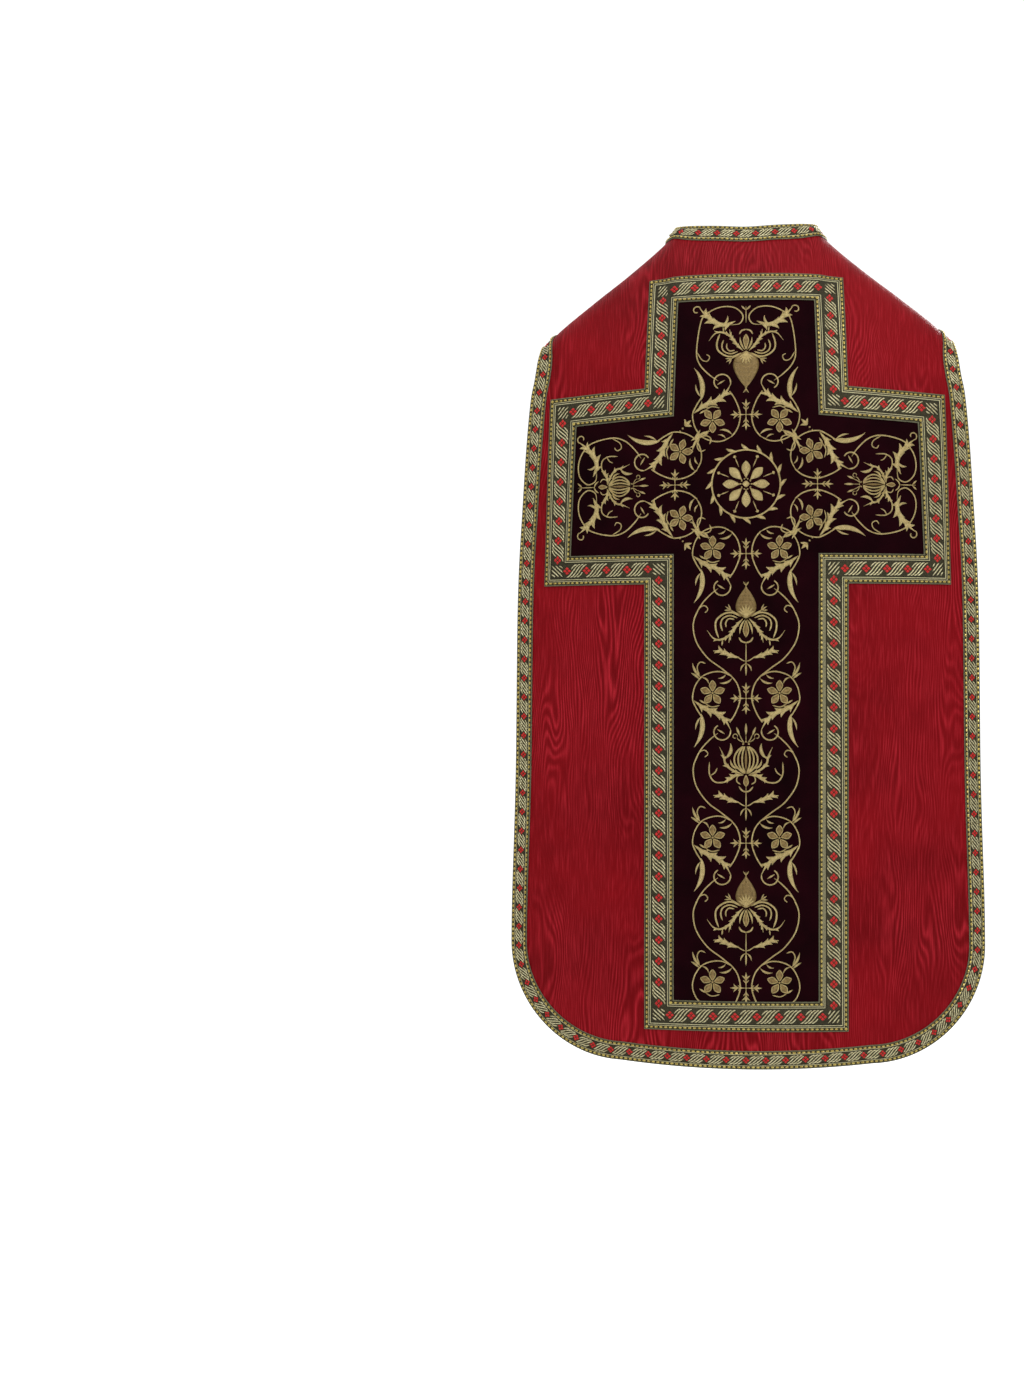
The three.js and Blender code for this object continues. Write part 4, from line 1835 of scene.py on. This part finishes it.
def draw_arm(flower: Pen, length: float, back: float, size: float) -> Pen:
    """Draws the embroidery of one short arm, from its crosslet out to its end.

    Args:
        flower: The flower, which points to the crossing.
        length: The distance from the crosslet to the arm's end.
        back: The distance from the arm's end back to the flower's heart.
        size: The flower's size, as a share of that in the column.

    Returns:
        The drawing.
    """
    pen = Pen()
    pen.stamp(draw_crosslet(), (0, 0))
    pen.both(draw_ring)
    pen.both(draw_acanthus)
    end = length - 8

    def half(p: Pen) -> None:
        """Draws one side's vine, which curls over at the end into a toothed leaf.

        Args:
            p: The pen.
        """
        p.stem([(36, 45), (48, 54), (60, 68), (64, 86), (58, end - 20), (46, end - 7), (30, end - 1),
                (14, end - 3), (4, end - 14), (8, end - 25), (20, end - 27)], 2.0, end=0.3)
        p.frond([(14, end - 22), (28, end - 27), (42, end - 22), (54, end - 10), (60, end - 2)], 15, 4)
        p.spiral((64, end - 5), (6, 3), (150, -120), 1.8)
        p.leaf((30, end - 26), (24, end - 14), 3.4, 0.2)
        p.stem([(63, 84), (57, 74), (50, 72), (47, 78), (51, 81)], 1.6, end=0.8)

    pen.both(half)
    pen.stamp(flower, (0, end - back), size=size)
    pen.upright((end - 24, end - 14, end - 1), 1.8)
    pen.both(lambda p: p.leaf((0.5, end - 6), (6, end), 2.4))
    return pen


def draw_centre() -> Pen:
    """Draws a plain rosette in a ring of leaves for the crossing.

    Returns:
        The drawing.
    """
    pen, stamen = Pen(), Pen()
    stamen.upright((-24, -31, -37), 1.8)
    stamen.dot((0, -38), 4.4)

    def petal(p: Pen) -> None:
        """Draws one petal and the stamen beside it."""
        p.leaf((0, -7), (0, -30), 12.5, full=0.6)
        p.stamp(stamen, (0, 0), 22.5)

    pen.around(8, petal)
    pen.dot((0, 0), 9.0)
    seeds, out = 10, 6.9
    for angle in np.arange(seeds) * 2 * math.pi / seeds:
        pen.dot((out * math.cos(angle), out * math.sin(angle)), 2.2)
    pen.spiral((0, 0), (44, 44), (0, 360), 2.4, start=1.0, end=1.0)
    pen.around(16, lambda p: p.leaf((-4, -45), (6, -52), 4.6, 0.12))
    return pen


def draw_corner() -> Pen:
    """Draws a small sprig for an inner corner, pointing down.

    Returns:
        The drawing.
    """
    pen = Pen()
    pen.leaf((0, -2), (0, 9), 4.4, full=0.45)
    pen.both(lambda p: p.leaf((1, -2), (7, 4), 3.2, 0.15))
    pen.dot((0, -6), 2.8)
    pen.dot((0, -11), 2.0)
    return pen


BEAD = {"Pitch": 6.2 * MM, "Length": 4.6 * MM, "Width": 2.6 * MM}
BEAD_LIFT = 0.3 * MM
END_ROOM = 10 * MM  # how much of a galloon's length stays free of figures at its ends
RIBS = range(-2, 3)
RIB_HALF = 0.88 * MM
RIB_HEIGHT = 0.7 * MM
RIBS_APART = 4.9 * MM
MITRE_RIBS_APART = 4.0 * MM


class TrimMaker:
    """Makes each galloon with its bead rows and its woven figures."""

    def __init__(self, finishes: dict[str, Material]) -> None:
        """Keeps the finishes and makes the small figures that repeat.

        Args:
            finishes: The materials by their short names.
        """
        self.finishes = finishes
        self.setting = Setting()
        weaves = (NARROW_WEAVE, WIDE_WEAVE)
        self.lozenges = {weave: self.lozenge_figure(weave.lozenge) for weave in weaves}
        self.strokes = {weave: self.stroke_figure(weave) for weave in weaves}
        self.corner = self.corner_figure(WIDE_WEAVE)

    def lozenge_figure(self, size: float) -> Object:
        """Makes four small pads in a lozenge.

        Args:
            size: The lozenge's length from point to point, in metres.

        Returns:
            The figure, lying flat.
        """
        part = size / 4
        run = np.array([[-0.84, 0], [-0.42, 0], [0, 0], [0.42, 0], [0.84, 0]]) * part
        half = np.array([0.04, 0.42, 0.82, 0.42, 0.04]) * part
        height = np.array([0.45, 0.65, 0.75, 0.65, 0.45]) * MM
        ribbons = [Ribbon(run + np.array(place) * part, half, height)
                   for place in ((0, -1), (1, 0), (0, 1), (-1, 0))]
        return self.hide(ribbon_mesh("lozenge_figure", ribbons, None, 0.0))

    def stroke_figure(self, weave: Weave) -> Object:
        """Makes a set of slanted, S-shaped ribs that lie between two lozenges.

        Args:
            weave: The galloon's make-up.

        Returns:
            The figure, lying flat.
        """
        ribbons = []
        u = np.linspace(-1, 1, 13)
        reach, rise = weave.motif_pitch * 0.36, weave.centre_half
        clear = weave.lozenge / 2 + 0.6 * MM
        for k in RIBS:
            along = u * reach + k * RIBS_APART
            across = np.sin(u * math.pi / 2) * (rise - abs(k) * 0.12 * MM)
            free = (weave.motif_pitch / 2 - np.abs(along)) + np.abs(across) > clear
            starts = np.flatnonzero(np.diff(np.concatenate([[0], free.astype(int), [0]])))
            for first, last in zip(starts[::2], starts[1::2]):
                if last - first < 3:
                    continue
                spine = np.stack([along[first:last], across[first:last]], axis=1)
                from_end = np.minimum(np.arange(len(spine)), np.arange(len(spine))[::-1])
                taper = np.clip(from_end * 0.6 + 0.35, 0, 1)
                ribbons.append(Ribbon(spine, RIB_HALF * taper, RIB_HEIGHT * taper))
        return self.hide(ribbon_mesh("stroke_figure", ribbons, None, 0.0))

    def corner_figure(self, weave: Weave) -> Object:
        """Makes the slanted ribs that fill the square at a mitre.

        Args:
            weave: The galloon's make-up.

        Returns:
            The figure, lying flat, with the mitre along its second axis.
        """
        ribbons = []
        taper = np.array([0.35, 0.95, 1, 1, 1, 0.95, 0.35])
        bend = 0.5 * MM * np.sin(np.linspace(-1.6, 1.6, len(taper)))
        for k in RIBS:
            across = k * MITRE_RIBS_APART
            half = weave.centre_half * math.sqrt(2) - abs(across) - 1.0 * MM
            run = np.stack([np.linspace(-half, half, len(taper)), across + bend], axis=1)
            ribbons.append(Ribbon(run, RIB_HALF * taper, RIB_HEIGHT * taper))
        return self.hide(ribbon_mesh("corner_figure", ribbons, None, 0.0))

    def hide(self, piece: Object) -> Object:
        """Takes a helper out of the scene but keeps it for the node trees."""
        bpy.context.scene.collection.objects.unlink(piece)
        return piece

    def sew(self, name: str, sheet: Sheet, rails: list[Rails], weave: Weave, base: float = GAP,
            mitred: bool = False, node: str = "") -> list[Object]:
        """Makes one galloon and sews it on. Its band stands in for the node.

        Args:
            name: The start of its pieces' names.
            sheet: The sheet that it is sewn to.
            rails: The rails of each of its lengths.
            weave: Its make-up.
            base: The lift of its underside.
            mitred: Whether its lengths meet in a closed round, with ribs on each mitre.
            node: The node that it replaces, where that isn't the name with galloon after it.

        Returns:
            The band, its beads, its lozenges, its strokes and the ribs on its mitres.
        """
        label = "wide" if weave is WIDE_WEAVE else "narrow"
        band = strip(f"{name}_band", sheet, rails, weave, base)
        band.data.materials.append(self.finishes[f"galloon_{label}"])
        face = base + GALLOON
        lines, places, gaps = [], [], []
        for pair in rails:
            for share in (weave.bead_row, 1 - weave.bead_row):
                lines.append(sheet.lifted(pair.at(share)[0], face + BEAD_LIFT))
            line, along = pair.at(0.5)
            usable = along[-1] - along[0]
            pitch = weave.motif_pitch
            count = max(1, math.floor((usable - END_ROOM) / pitch))
            if mitred:
                between = usable - 2 * (weave.centre_half + weave.lozenge / 2)
                count = max(1, round(between / pitch))
                pitch = between / count
            at = along[0] + (usable - count * pitch) / 2 + pitch * np.arange(count + 1)
            places.append(self.points_along(line, along, at))
            gaps.append(self.points_along(line, along, at[:-1] + pitch / 2))
        beads = self.setting.make(line_object(f"{name}_line", lines), self.setting.beads,
                                  {**BEAD, "Finish": self.finishes["bead"]}, f"{name}_beads")
        pieces = [
            beads,
            self.figures(f"{name}_lozenges", sheet, places, face, self.lozenges[weave], "red_figure"),
            self.figures(f"{name}_strokes", sheet, gaps, face, self.strokes[weave], "pale_figure"),
        ]
        if mitred:
            centres = [pair.at(0.5)[0] for pair in rails]
            mitres = np.array([line[-1] for line in centres])
            turns = unit(np.array([headings(line)[-1] + headings(after)[0]
                                   for line, after in zip(centres, [*centres[1:], centres[0]])]))
            spots = [(mitres, turns)]
            pieces.append(self.figures(f"{name}_mitres", sheet, spots, face, self.corner, "pale_figure"))
        keep(band, node or f"{name}_galloon")
        for piece in pieces:
            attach(piece, "root")
        return [band, *pieces]

    def points_along(self, line: Array, along: Array, at: Array) -> tuple[Array, Array]:
        """Finds flat points and headings at distances along a line.

        Args:
            line: The flat line.
            along: Each of its points' distance.
            at: The distances to find.

        Returns:
            The flat points and the headings.
        """
        flat = np.stack([np.interp(at, along, line[:, k]) for k in range(2)], axis=1)
        heading = headings(line)
        return flat, np.stack([np.interp(at, along, heading[:, k]) for k in range(2)], axis=1)

    def figures(self, name: str, sheet: Sheet, spots: list, face: float, figure: Object,
                finish: str) -> Object:
        """Lays one figure at every spot.

        Args:
            name: The new object's name.
            sheet: The sheet that they lie on.
            spots: Flat points and headings, a pair for each length.
            face: The lift of the galloon's face.
            figure: The figure.
            finish: The short name of its finish.

        Returns:
            The finished object.
        """
        flat = np.vstack([spot[0] for spot in spots])
        heading = np.vstack([spot[1] for spot in spots])
        across, down, _turn = sheet.run(flat)
        along = unit(across * heading[:, :1] + down * heading[:, 1:])
        places = place_object(f"{name}_places", sheet.lifted(flat, face), along, sheet.out(flat))
        values = {"Figure": figure, "Size": 1.0, "Finish": self.finishes[finish]}
        return self.setting.make(places, self.setting.figures, values, name)


def whole(half: Array) -> Array:
    """Joins a half edge to its mirror image."""
    return np.vstack([half, other_side(half)[::-1][1:]])


def keep(piece: Object, node: str) -> None:
    """Rides a piece on the garment, in place of a node.

    Args:
        piece: The piece.
        node: The node that it replaces.
    """
    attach(piece, "root")
    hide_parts(node)
    LOG.info("%s: %d faces, in place of %s", piece.name, len(piece.data.polygons), node)


@dataclass(frozen=True)
class Layer:
    """A kind of cloth: its word in a name, the lift of both faces, its finish and its slot."""

    word: str
    low: float
    high: float
    finish: str
    slot: str


SILK = Layer("cloth", -CLOTH, 0.0, "silk", "red_moire")
TURNED_SILK = Layer("cloth", -CLOTH, 0.0, "silk_turned", "red_moire")
UNDER_SILK = Layer("cloth", -CLOTH - GAP - LINING, -CLOTH - GAP, "lining", "red_lining")
PILE = Layer("velvet", GAP, GAP + VELVET, "velvet", "dark_velvet")
CLOTH_STEP = 6.5 * MM
LINING_STEP = 1.4 * CLOTH_STEP
OVER_VELVET = 2 * GAP + VELVET


@dataclass
class Half:
    """The back or the front: its sheet, its hem, the worn points of its side, and what dresses it."""

    sheet: Sheet
    hem: Hem
    side: tuple
    finishes: dict[str, Material]
    trims: TrimMaker

    def half_edge(self, step: float) -> Array:
        """Draws the edge from the +X shoulder tip to the middle of the hem.

        Args:
            step: The distance between its points.

        Returns:
            The flat line.
        """
        hem = self.hem
        places = [self.sheet.at_height(x * MM, z * MM) for x, z in self.side]
        side = np.vstack([self.sheet.on_ridge(SHOULDER_TIP, SEAM), *places,
                          self.sheet.at_height(hem.side, hem.height)])
        parts = 40
        angle = np.linspace(0, math.pi / 2, parts)[1:]
        corner_side = hem.side - hem.corner
        corner = self.sheet.at_height(corner_side + hem.corner * np.cos(angle),
                                      hem.height - hem.drop * np.sin(angle))
        share = 1 - np.linspace(0, 1, parts)[1:]
        bottom = self.sheet.at_height(corner_side * share,
                                      hem.height - hem.drop - hem.sag * (1 - share**2))
        return even(np.vstack([smooth_line(side, step), corner, bottom]), step)

    def edge(self, step: float) -> Array:
        """Draws the edge from tip to tip round the hem."""
        return whole(self.half_edge(step))

    def ridge(self) -> Array:
        """Draws the +X shoulder seam from the neck out to the tip."""
        count = round((SHOULDER_TIP - NECK_SIDE) / CLOTH_STEP) + 1
        return self.sheet.on_ridge(np.linspace(NECK_SIDE, SHOULDER_TIP, count), SEAM)

    def lay(self, node: str, layer: Layer, outline: Array, step: float = CLOTH_STEP) -> Object:
        """Lays one cut of cloth in place of a node.

        Args:
            node: The node.
            layer: The kind of cloth.
            outline: The cut's closed edge.
            step: The size of its triangles.

        Returns:
            The cloth.
        """
        made = shell(f"{node}_{layer.word}", self.sheet, outline, layer.low, layer.high, step)
        made.data.materials.append(self.finishes[layer.finish])
        keep(made, node)
        return made

    def stitch(self, name: str, pen: Pen) -> Object:
        """Works a drawing in two tones of gold on the velvet.

        Args:
            name: The embroidery's name.
            pen: The drawing.

        Returns:
            The embroidery.
        """
        made = ribbon_mesh(name, pen.scaled(), self.sheet, PILE.high)
        for tone in ("gold_thread", "deep_thread"):
            made.data.materials.append(self.finishes[tone])
        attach(made, "root")
        LOG.info("%s: %d ribbons", made.name, len(pen.drawn))
        return made


class BackHalf(Half):
    """The back: panel, lining, velvet cross, galloons and embroidery."""

    cross = Cross()

    def neck(self, step: float) -> Array:
        """Draws the neckline from its +X corner round the back to its -X corner.

        Args:
            step: The distance between its points.

        Returns:
            The flat line.
        """
        parts = 60
        angle = np.linspace(0, math.pi, parts)
        line = self.sheet.on_ridge(NECK_SIDE * np.cos(angle), SEAM + NECK_DIP * np.sin(angle))
        return even(line, step)

    def build(self) -> None:
        """Builds and dresses every piece of the back."""
        ridge = self.ridge()
        outline = np.vstack([self.edge(CLOTH_STEP), other_side(ridge)[::-1][1:],
                             self.neck(CLOTH_STEP)[::-1][1:], ridge[1:-1]])
        panel = self.lay("back_panel", SILK, outline)
        lining = self.lay("back_lining", UNDER_SILK, outline, LINING_STEP)
        cross = self.lay("back_cross", PILE, self.velvet_outline())
        lines = {"back_edge": self.edge(TRIM_STEP), "back_neck": self.neck(NECK_STEP)[::-1]}
        edge, neck = (self.trims.sew(name, self.sheet, [rails_beside(self.sheet, line)], NARROW_WEAVE)
                      for name, line in lines.items())
        border = self.trims.sew("back_cross", self.sheet, self.border_rails(), WIDE_WEAVE,
                                OVER_VELVET, mitred=True)
        stitching = self.embroider()

    def velvet_outline(self) -> Array:
        """Draws the velvet's edge, which lies under the galloon.

        Returns:
            The closed flat line.
        """
        corners = self.cross.corners(0.0)
        return np.vstack([even(np.array(pair), CLOTH_STEP)[:-1]
                          for pair in zip(corners, np.roll(corners, -1, axis=0))])

    def border_rails(self) -> list[Rails]:
        """Makes the rails of the twelve mitred lengths round the cross.

        Returns:
            The rails, clockwise as seen from outside.
        """
        outer, inner = self.cross.corners(0.0), self.cross.corners(WIDE)
        ends = zip(outer, np.roll(outer, -1, axis=0), inner, np.roll(inner, -1, axis=0))
        return [rails_straight(*four) for four in ends]

    def embroider(self) -> Object:
        """Works the embroidery on the cross, drawn in millimetres.

        Returns:
            The embroidery.
        """
        pen = Pen()
        middle = self.cross.centre() / MM
        side_start, start, reach = 92.0, 90.0, 187.0
        lotus, pomegranate, large = draw_lotus(), draw_pomegranate(), draw_pomegranate(1.3)
        pen.stamp(draw_centre(), (0, middle))
        for k, flower in enumerate((pomegranate, lotus, pomegranate)):
            pen.stamp(draw_unit(flower, reach), (0, middle + start + k * reach))
        pen.stamp(draw_end(), (0, middle + start + 3 * reach))
        side_length = (self.cross.arm + self.cross.arm_flare / 2 - WIDE) / MM - side_start + 2
        top_length = middle - (self.cross.top + WIDE) / MM - start
        side_arm = draw_arm(lotus, side_length, back=58, size=0.84)
        pen.stamp(side_arm, (side_start, middle), -90)
        pen.stamp(side_arm, (-side_start, middle), 90)
        pen.stamp(draw_arm(large, top_length, back=67, size=0.96), (0, middle - start), 180)
        corner = (self.cross.half - WIDE) / MM - 16
        for turn, x, y in ((45, 1, 1), (135, 1, -1), (225, -1, -1), (315, -1, 1)):
            pen.stamp(draw_corner(), (x * corner, middle + y * corner), turn)
        return self.stitch("back_embroidery", pen)


class FrontHalf(Half):
    """The front: panel, yokes, velvet column, galloons and embroidery."""

    def chest_top(self) -> float:
        """Gives the height of the chest seam on the cut."""
        return float(self.sheet.at_height(NECK_FOOT, CHEST_TOP)[0, 1])

    def neck(self, step: float) -> Array:
        """Draws the neckline from its +X corner down to the chest seam."""
        corner = self.sheet.on_ridge(NECK_SIDE, SEAM)[0]
        return even(np.array([corner, [NECK_FOOT, self.chest_top()]]), step)

    def build(self) -> None:
        """Builds and dresses every piece of the front."""
        top = self.chest_top()
        edge = self.half_edge(CLOTH_STEP)
        above, below = edge[edge[:, 1] < top], edge[edge[:, 1] > top]
        crossing = self.edge_at(edge, top)
        seam = np.array([0.0, SEAM])
        seam_line = even(np.array([crossing - seam, [NECK_FOOT, top - SEAM]]), CLOTH_STEP)
        yoke = np.vstack([above, seam_line, self.neck(CLOTH_STEP)[::-1][1:], self.ridge()[1:-1]])
        panel_edge = whole(np.vstack([[crossing + seam], below]))
        top_line = even(np.array([panel_edge[-1], panel_edge[0]]), CLOTH_STEP)[1:-1]
        panel = self.lay("front_panel", SILK, np.vstack([panel_edge, top_line]))
        left = self.lay("yoke_left", TURNED_SILK, yoke)
        right = self.lay("yoke_right", TURNED_SILK, other_side(yoke))
        rim = rails_beside(self.sheet, self.edge(TRIM_STEP))
        column = self.lay("front_column", PILE, self.column_outline(top + WIDE, rim))
        trims = self.sew_trims(top, rim)
        stitching = self.embroider()

    def edge_at(self, edge: Array, height: float) -> Array:
        """Finds where a side edge crosses a level of the cut.

        Args:
            edge: The flat edge.
            height: The level.

        Returns:
            The flat point.
        """
        k = int(np.argmax(edge[:, 1] > height))
        share = (height - edge[k - 1, 1]) / (edge[k, 1] - edge[k - 1, 1])
        return edge[k - 1] + (edge[k] - edge[k - 1]) * share

    def column_foot(self, x: float | Array, rim: Rails) -> float | Array:
        """Finds where the velvet meets the inner edge of the hem galloon.

        Args:
            x: Distances from the centre line.
            rim: The rails of the edge galloon.

        Returns:
            The heights on the cut.
        """
        hem_only = 0.7
        lower = rim.second[rim.second[:, 1] > hem_only]
        order = np.argsort(lower[:, 0])
        return np.interp(x, lower[order, 0], lower[order, 1]) - SEAM

    def column_outline(self, top: float, rim: Rails) -> Array:
        """Draws the velvet column's edge.

        Args:
            top: The foot of the chest galloon on the cut.
            rim: The rails of the edge galloon.

        Returns:
            The closed flat line.
        """
        xs = np.linspace(COLUMN_HALF, -COLUMN_HALF, round(2 * COLUMN_HALF / CLOTH_STEP) + 1)
        foot = np.stack([xs, self.column_foot(xs, rim)], axis=1)
        right = even(np.array([[COLUMN_HALF, top + SEAM], foot[0]]), CLOTH_STEP)
        left = even(np.array([foot[-1], [-COLUMN_HALF, top + SEAM]]), CLOTH_STEP)
        head = even(np.array([left[-1], right[0]]), CLOTH_STEP)
        return np.vstack([right, foot[1:], left[1:], head[1:-1]])

    def sew_trims(self, top: float, rim: Rails) -> dict[str, list[Object]]:
        """Sews on the galloons.

        Args:
            top: The height of the chest seam on the cut.
            rim: The rails of the edge galloon.

        Returns:
            The pieces of each galloon, by its short name.
        """
        made = {"edge": self.trims.sew("front_edge", self.sheet, [rim], NARROW_WEAVE)}
        inner = rails_beside(self.sheet, self.half_edge(TRIM_STEP)).second
        high, low = self.edge_at(inner, top + SEAM), self.edge_at(inner, top + WIDE - SEAM)
        across = rails_straight(other_side(high), high, other_side(low), low)
        made["chest"] = self.trims.sew("chest", self.sheet, [across], WIDE_WEAVE)
        head = top + WIDE + SEAM
        for side, name in ((1, "left"), (-1, "right")):
            neck = self.neck(NECK_STEP) * np.array([side, 1])
            neck[-1, 1] -= SEAM
            pair = rails_beside(self.sheet, neck[::-1] if side > 0 else neck)
            pair.second[0 if side > 0 else -1, 1] = top - SEAM
            made[f"neck_{name}"] = self.trims.sew(
                f"neck_{name}", self.sheet, [pair], NARROW_WEAVE, node=f"neck_galloon_{name}")
            rail = rails_straight(*(np.array([side * x, y]) for x in (COLUMN_HALF, COLUMN_HALF - WIDE)
                                    for y in (head, self.column_foot(side * x, rim))))
            made[f"column_{name}"] = self.trims.sew(
                f"column_{name}", self.sheet, [rail], WIDE_WEAVE, OVER_VELVET,
                node=f"column_galloon_{name}")
        return made

    def embroider(self) -> Object:
        """Works the embroidery on the column, drawn in millimetres.

        Returns:
            The embroidery.
        """
        pen, head = Pen(), Pen()
        first, reach = 322.0, 183.0
        lotus, pomegranate = draw_lotus(), draw_pomegranate()
        for k, flower in enumerate((pomegranate, lotus, pomegranate)):
            pen.stamp(draw_unit(flower, reach), (0, first + k * reach))
        pen.stamp(draw_end(), (0, first + 3 * reach))
        head.both(lambda p: p.stem([(68, -92), (69, -78), (55, -58), (32, -43), (14, -36)], 1.9))
        draw_stalk(head, -86, -38)
        head.stamp(draw_corner(), (0, -90), 180, 1.4)
        pen.stamp(head, (0, first))
        return self.stitch("front_embroidery", pen)


WHITE = (1.0, 1.0, 1.0, 1.0)
LIGHTS_AIM = (0, 0, -0.4)
LIGHTS = (  # name, place, power and size
    ("key", (-1.6, 3.0, 1.0), 36, 1.0),
    ("fill", (2.2, 2.8, 0.0), 14, 2.0),
    ("front_key", (-1.6, -3.0, 1.0), 42, 1.0),
    ("front_fill", (2.2, -2.8, 0.0), 14, 2.0),
    ("overhead", (0.0, 0.7, 2.0), 11, 1.6),
    ("front_overhead", (0.0, -0.7, 2.0), 11, 1.6),
)


@dataclass(frozen=True)
class Studio:
    """A plain floor, soft lights and the camera behind the garment.

    The camera looks level from the height of eye, at a distance from the plane of the back. The pixels
    say how large the garment is in the picture, and where its centre line lies.
    """

    floor: float = -1.5
    eye: float = -0.612
    distance: float = 3.1
    image_height: float = 1396.0
    image_width: float = 1024.0
    centre_pixel: float = 746.0
    pixels_per_metre: float = 764.0
    plane: float = 0.1

    def build(self) -> None:
        """Builds the floor, the lights and the camera."""
        bpy.context.scene.view_settings.view_transform = "Standard"
        self.build_floor()
        self.build_lights()
        self.build_camera()

    def build_floor(self) -> None:
        """Lays a wide pale floor, which shines only for the camera."""
        half = 12.0
        corners = np.array([[x * half, y * half, self.floor]
                            for x, y in ((-1, -1), (1, -1), (1, 1), (-1, 1))])
        floor = mesh_object("floor", corners, [(0, 1, 2, 3)], corners[:, :2])
        net = Finish("Pale floor")
        seen = net.add("ShaderNodeLightPath").outputs["Is Camera Ray"]
        net.set(net.shader, {"Base Color": (0.8, 0.8, 0.8, 1.0), "Roughness": 0.9,
                             "Emission Color": WHITE, "Emission Strength": net.times(seen, 0.8)})
        floor.data.materials.append(net.material)

    def build_lights(self) -> None:
        """Hangs soft lights above and before both faces, in a bright, even surround."""
        world = bpy.data.worlds.new("Pale surround")
        world.use_nodes = True
        net = Net(world.node_tree)
        seen = net.add("ShaderNodeLightPath").outputs["Is Camera Ray"]
        net.set(net.tree.nodes["Background"], {
            "Color": WHITE, "Strength": net.plus(net.times(seen, 0.7), 0.42)})
        bpy.context.scene.world = world
        for name, place, power, size in LIGHTS:
            light = bpy.data.lights.new(name, "AREA")
            light.energy = power
            light.size = size
            lamp = in_scene(name, light)
            lamp.location = place
            aim = Vector(LIGHTS_AIM) - Vector(place)
            lamp.rotation_euler = aim.to_track_quat("-Z", "Y").to_euler()

    def build_camera(self) -> None:
        """Sets the camera at eye level behind the garment, turned so that it frames the picture."""
        data = bpy.data.cameras.new("camera")
        data.sensor_width = 36.0
        data.lens = data.sensor_width * self.distance / (self.image_height / self.pixels_per_metre)
        offset = (self.centre_pixel - self.image_width / 2) / self.pixels_per_metre
        camera = in_scene("camera", data)
        camera.location = (0.0, self.plane + self.distance, self.eye)
        camera.rotation_euler = (math.pi / 2, 0.0, math.pi + math.atan2(offset, self.distance))
        bpy.context.scene.camera = camera


BACK_SHEET = Sheet(Face.BACK, 125 * MM, (
    Fold(0.232, 0.42, 1.06, 0.030, -0.0022),
    Fold(0.186, 0.60, 1.10, 0.022, 0.0016),
    Fold(-0.214, 0.50, 1.09, 0.034, -0.0020),
    Fold(-0.168, 0.74, 1.08, 0.020, 0.0014),
    Fold(0.02, 0.80, 1.10, 0.060, 0.0018),
))
BACK_HEM = Hem(312 * MM, -937 * MM, 150 * MM, 148 * MM, 7 * MM)
BACK_SIDE = ((281, -184), (287, -224), (296, -352), (303, -483), (306, -712), (311, -872))
FRONT_SHEET = Sheet(Face.FRONT, 118 * MM, (
    Fold(0.196, 0.44, 0.95, 0.028, -0.0020),
    Fold(-0.180, 0.38, 0.90, 0.032, -0.0022),
    Fold(-0.215, 0.60, 0.94, 0.018, 0.0015),
    Fold(0.03, 0.60, 0.95, 0.055, 0.0016),
))
FRONT_HEM = Hem(281 * MM, -850 * MM, 95 * MM, 94 * MM, 6 * MM)
FRONT_SIDE = ((250, -146), (220, -170), (198, -222), (191, -285), (200, -362), (228, -470),
              (258, -585), (275, -710))


def build_finishes() -> dict[str, Material]:
    """Builds every finish.

    Returns:
        The materials by their short names.
    """
    groups = Groups()
    recipes = {
        "silk": WateredSilk("Watered silk"),
        "silk_turned": WateredSilk("Watered silk, turned", turned=True),
        "lining": PlainLining(),
        "velvet": DarkVelvet(),
        "galloon_narrow": WovenGalloon("Narrow galloon", NARROW_BANDS),
        "galloon_wide": WovenGalloon("Wide galloon", WIDE_BANDS),
        # Both gold threads run from a painted shade in their grooves to a painted highlight on their
        # crowns; the deep thread is also a darker gold.
        "gold_thread": GoldThread(),
        "deep_thread": GoldThread(
            "Deep gold thread", colour(190, 160, 98), colour(66, 46, 20), 1.2 * MM, 0.3),
        "bead": PlainThread("Bead thread", colour(236, 214, 116), colour(160, 132, 52), 0.4, 0.32),
        "red_figure": PlainThread(
            "Red figure thread", colour(232, 30, 28), colour(184, 14, 14), 0.0, 0.5),
        "pale_figure": PlainThread(
            "Pale figure thread", colour(244, 236, 190), colour(160, 150, 104), 0.4, 0.36),
    }
    return {short: recipe.build(groups) for short, recipe in recipes.items()}


def main() -> None:
    """Builds the garment, the studio and the camera."""
    logging.basicConfig(level=logging.INFO, format="%(message)s")
    Studio().build()
    finishes = build_finishes()
    trims = TrimMaker(finishes)
    BackHalf(BACK_SHEET, BACK_HEM, BACK_SIDE, finishes, trims).build()
    FrontHalf(FRONT_SHEET, FRONT_HEM, FRONT_SIDE, finishes, trims).build()


if __name__ == "__main__":
    main()
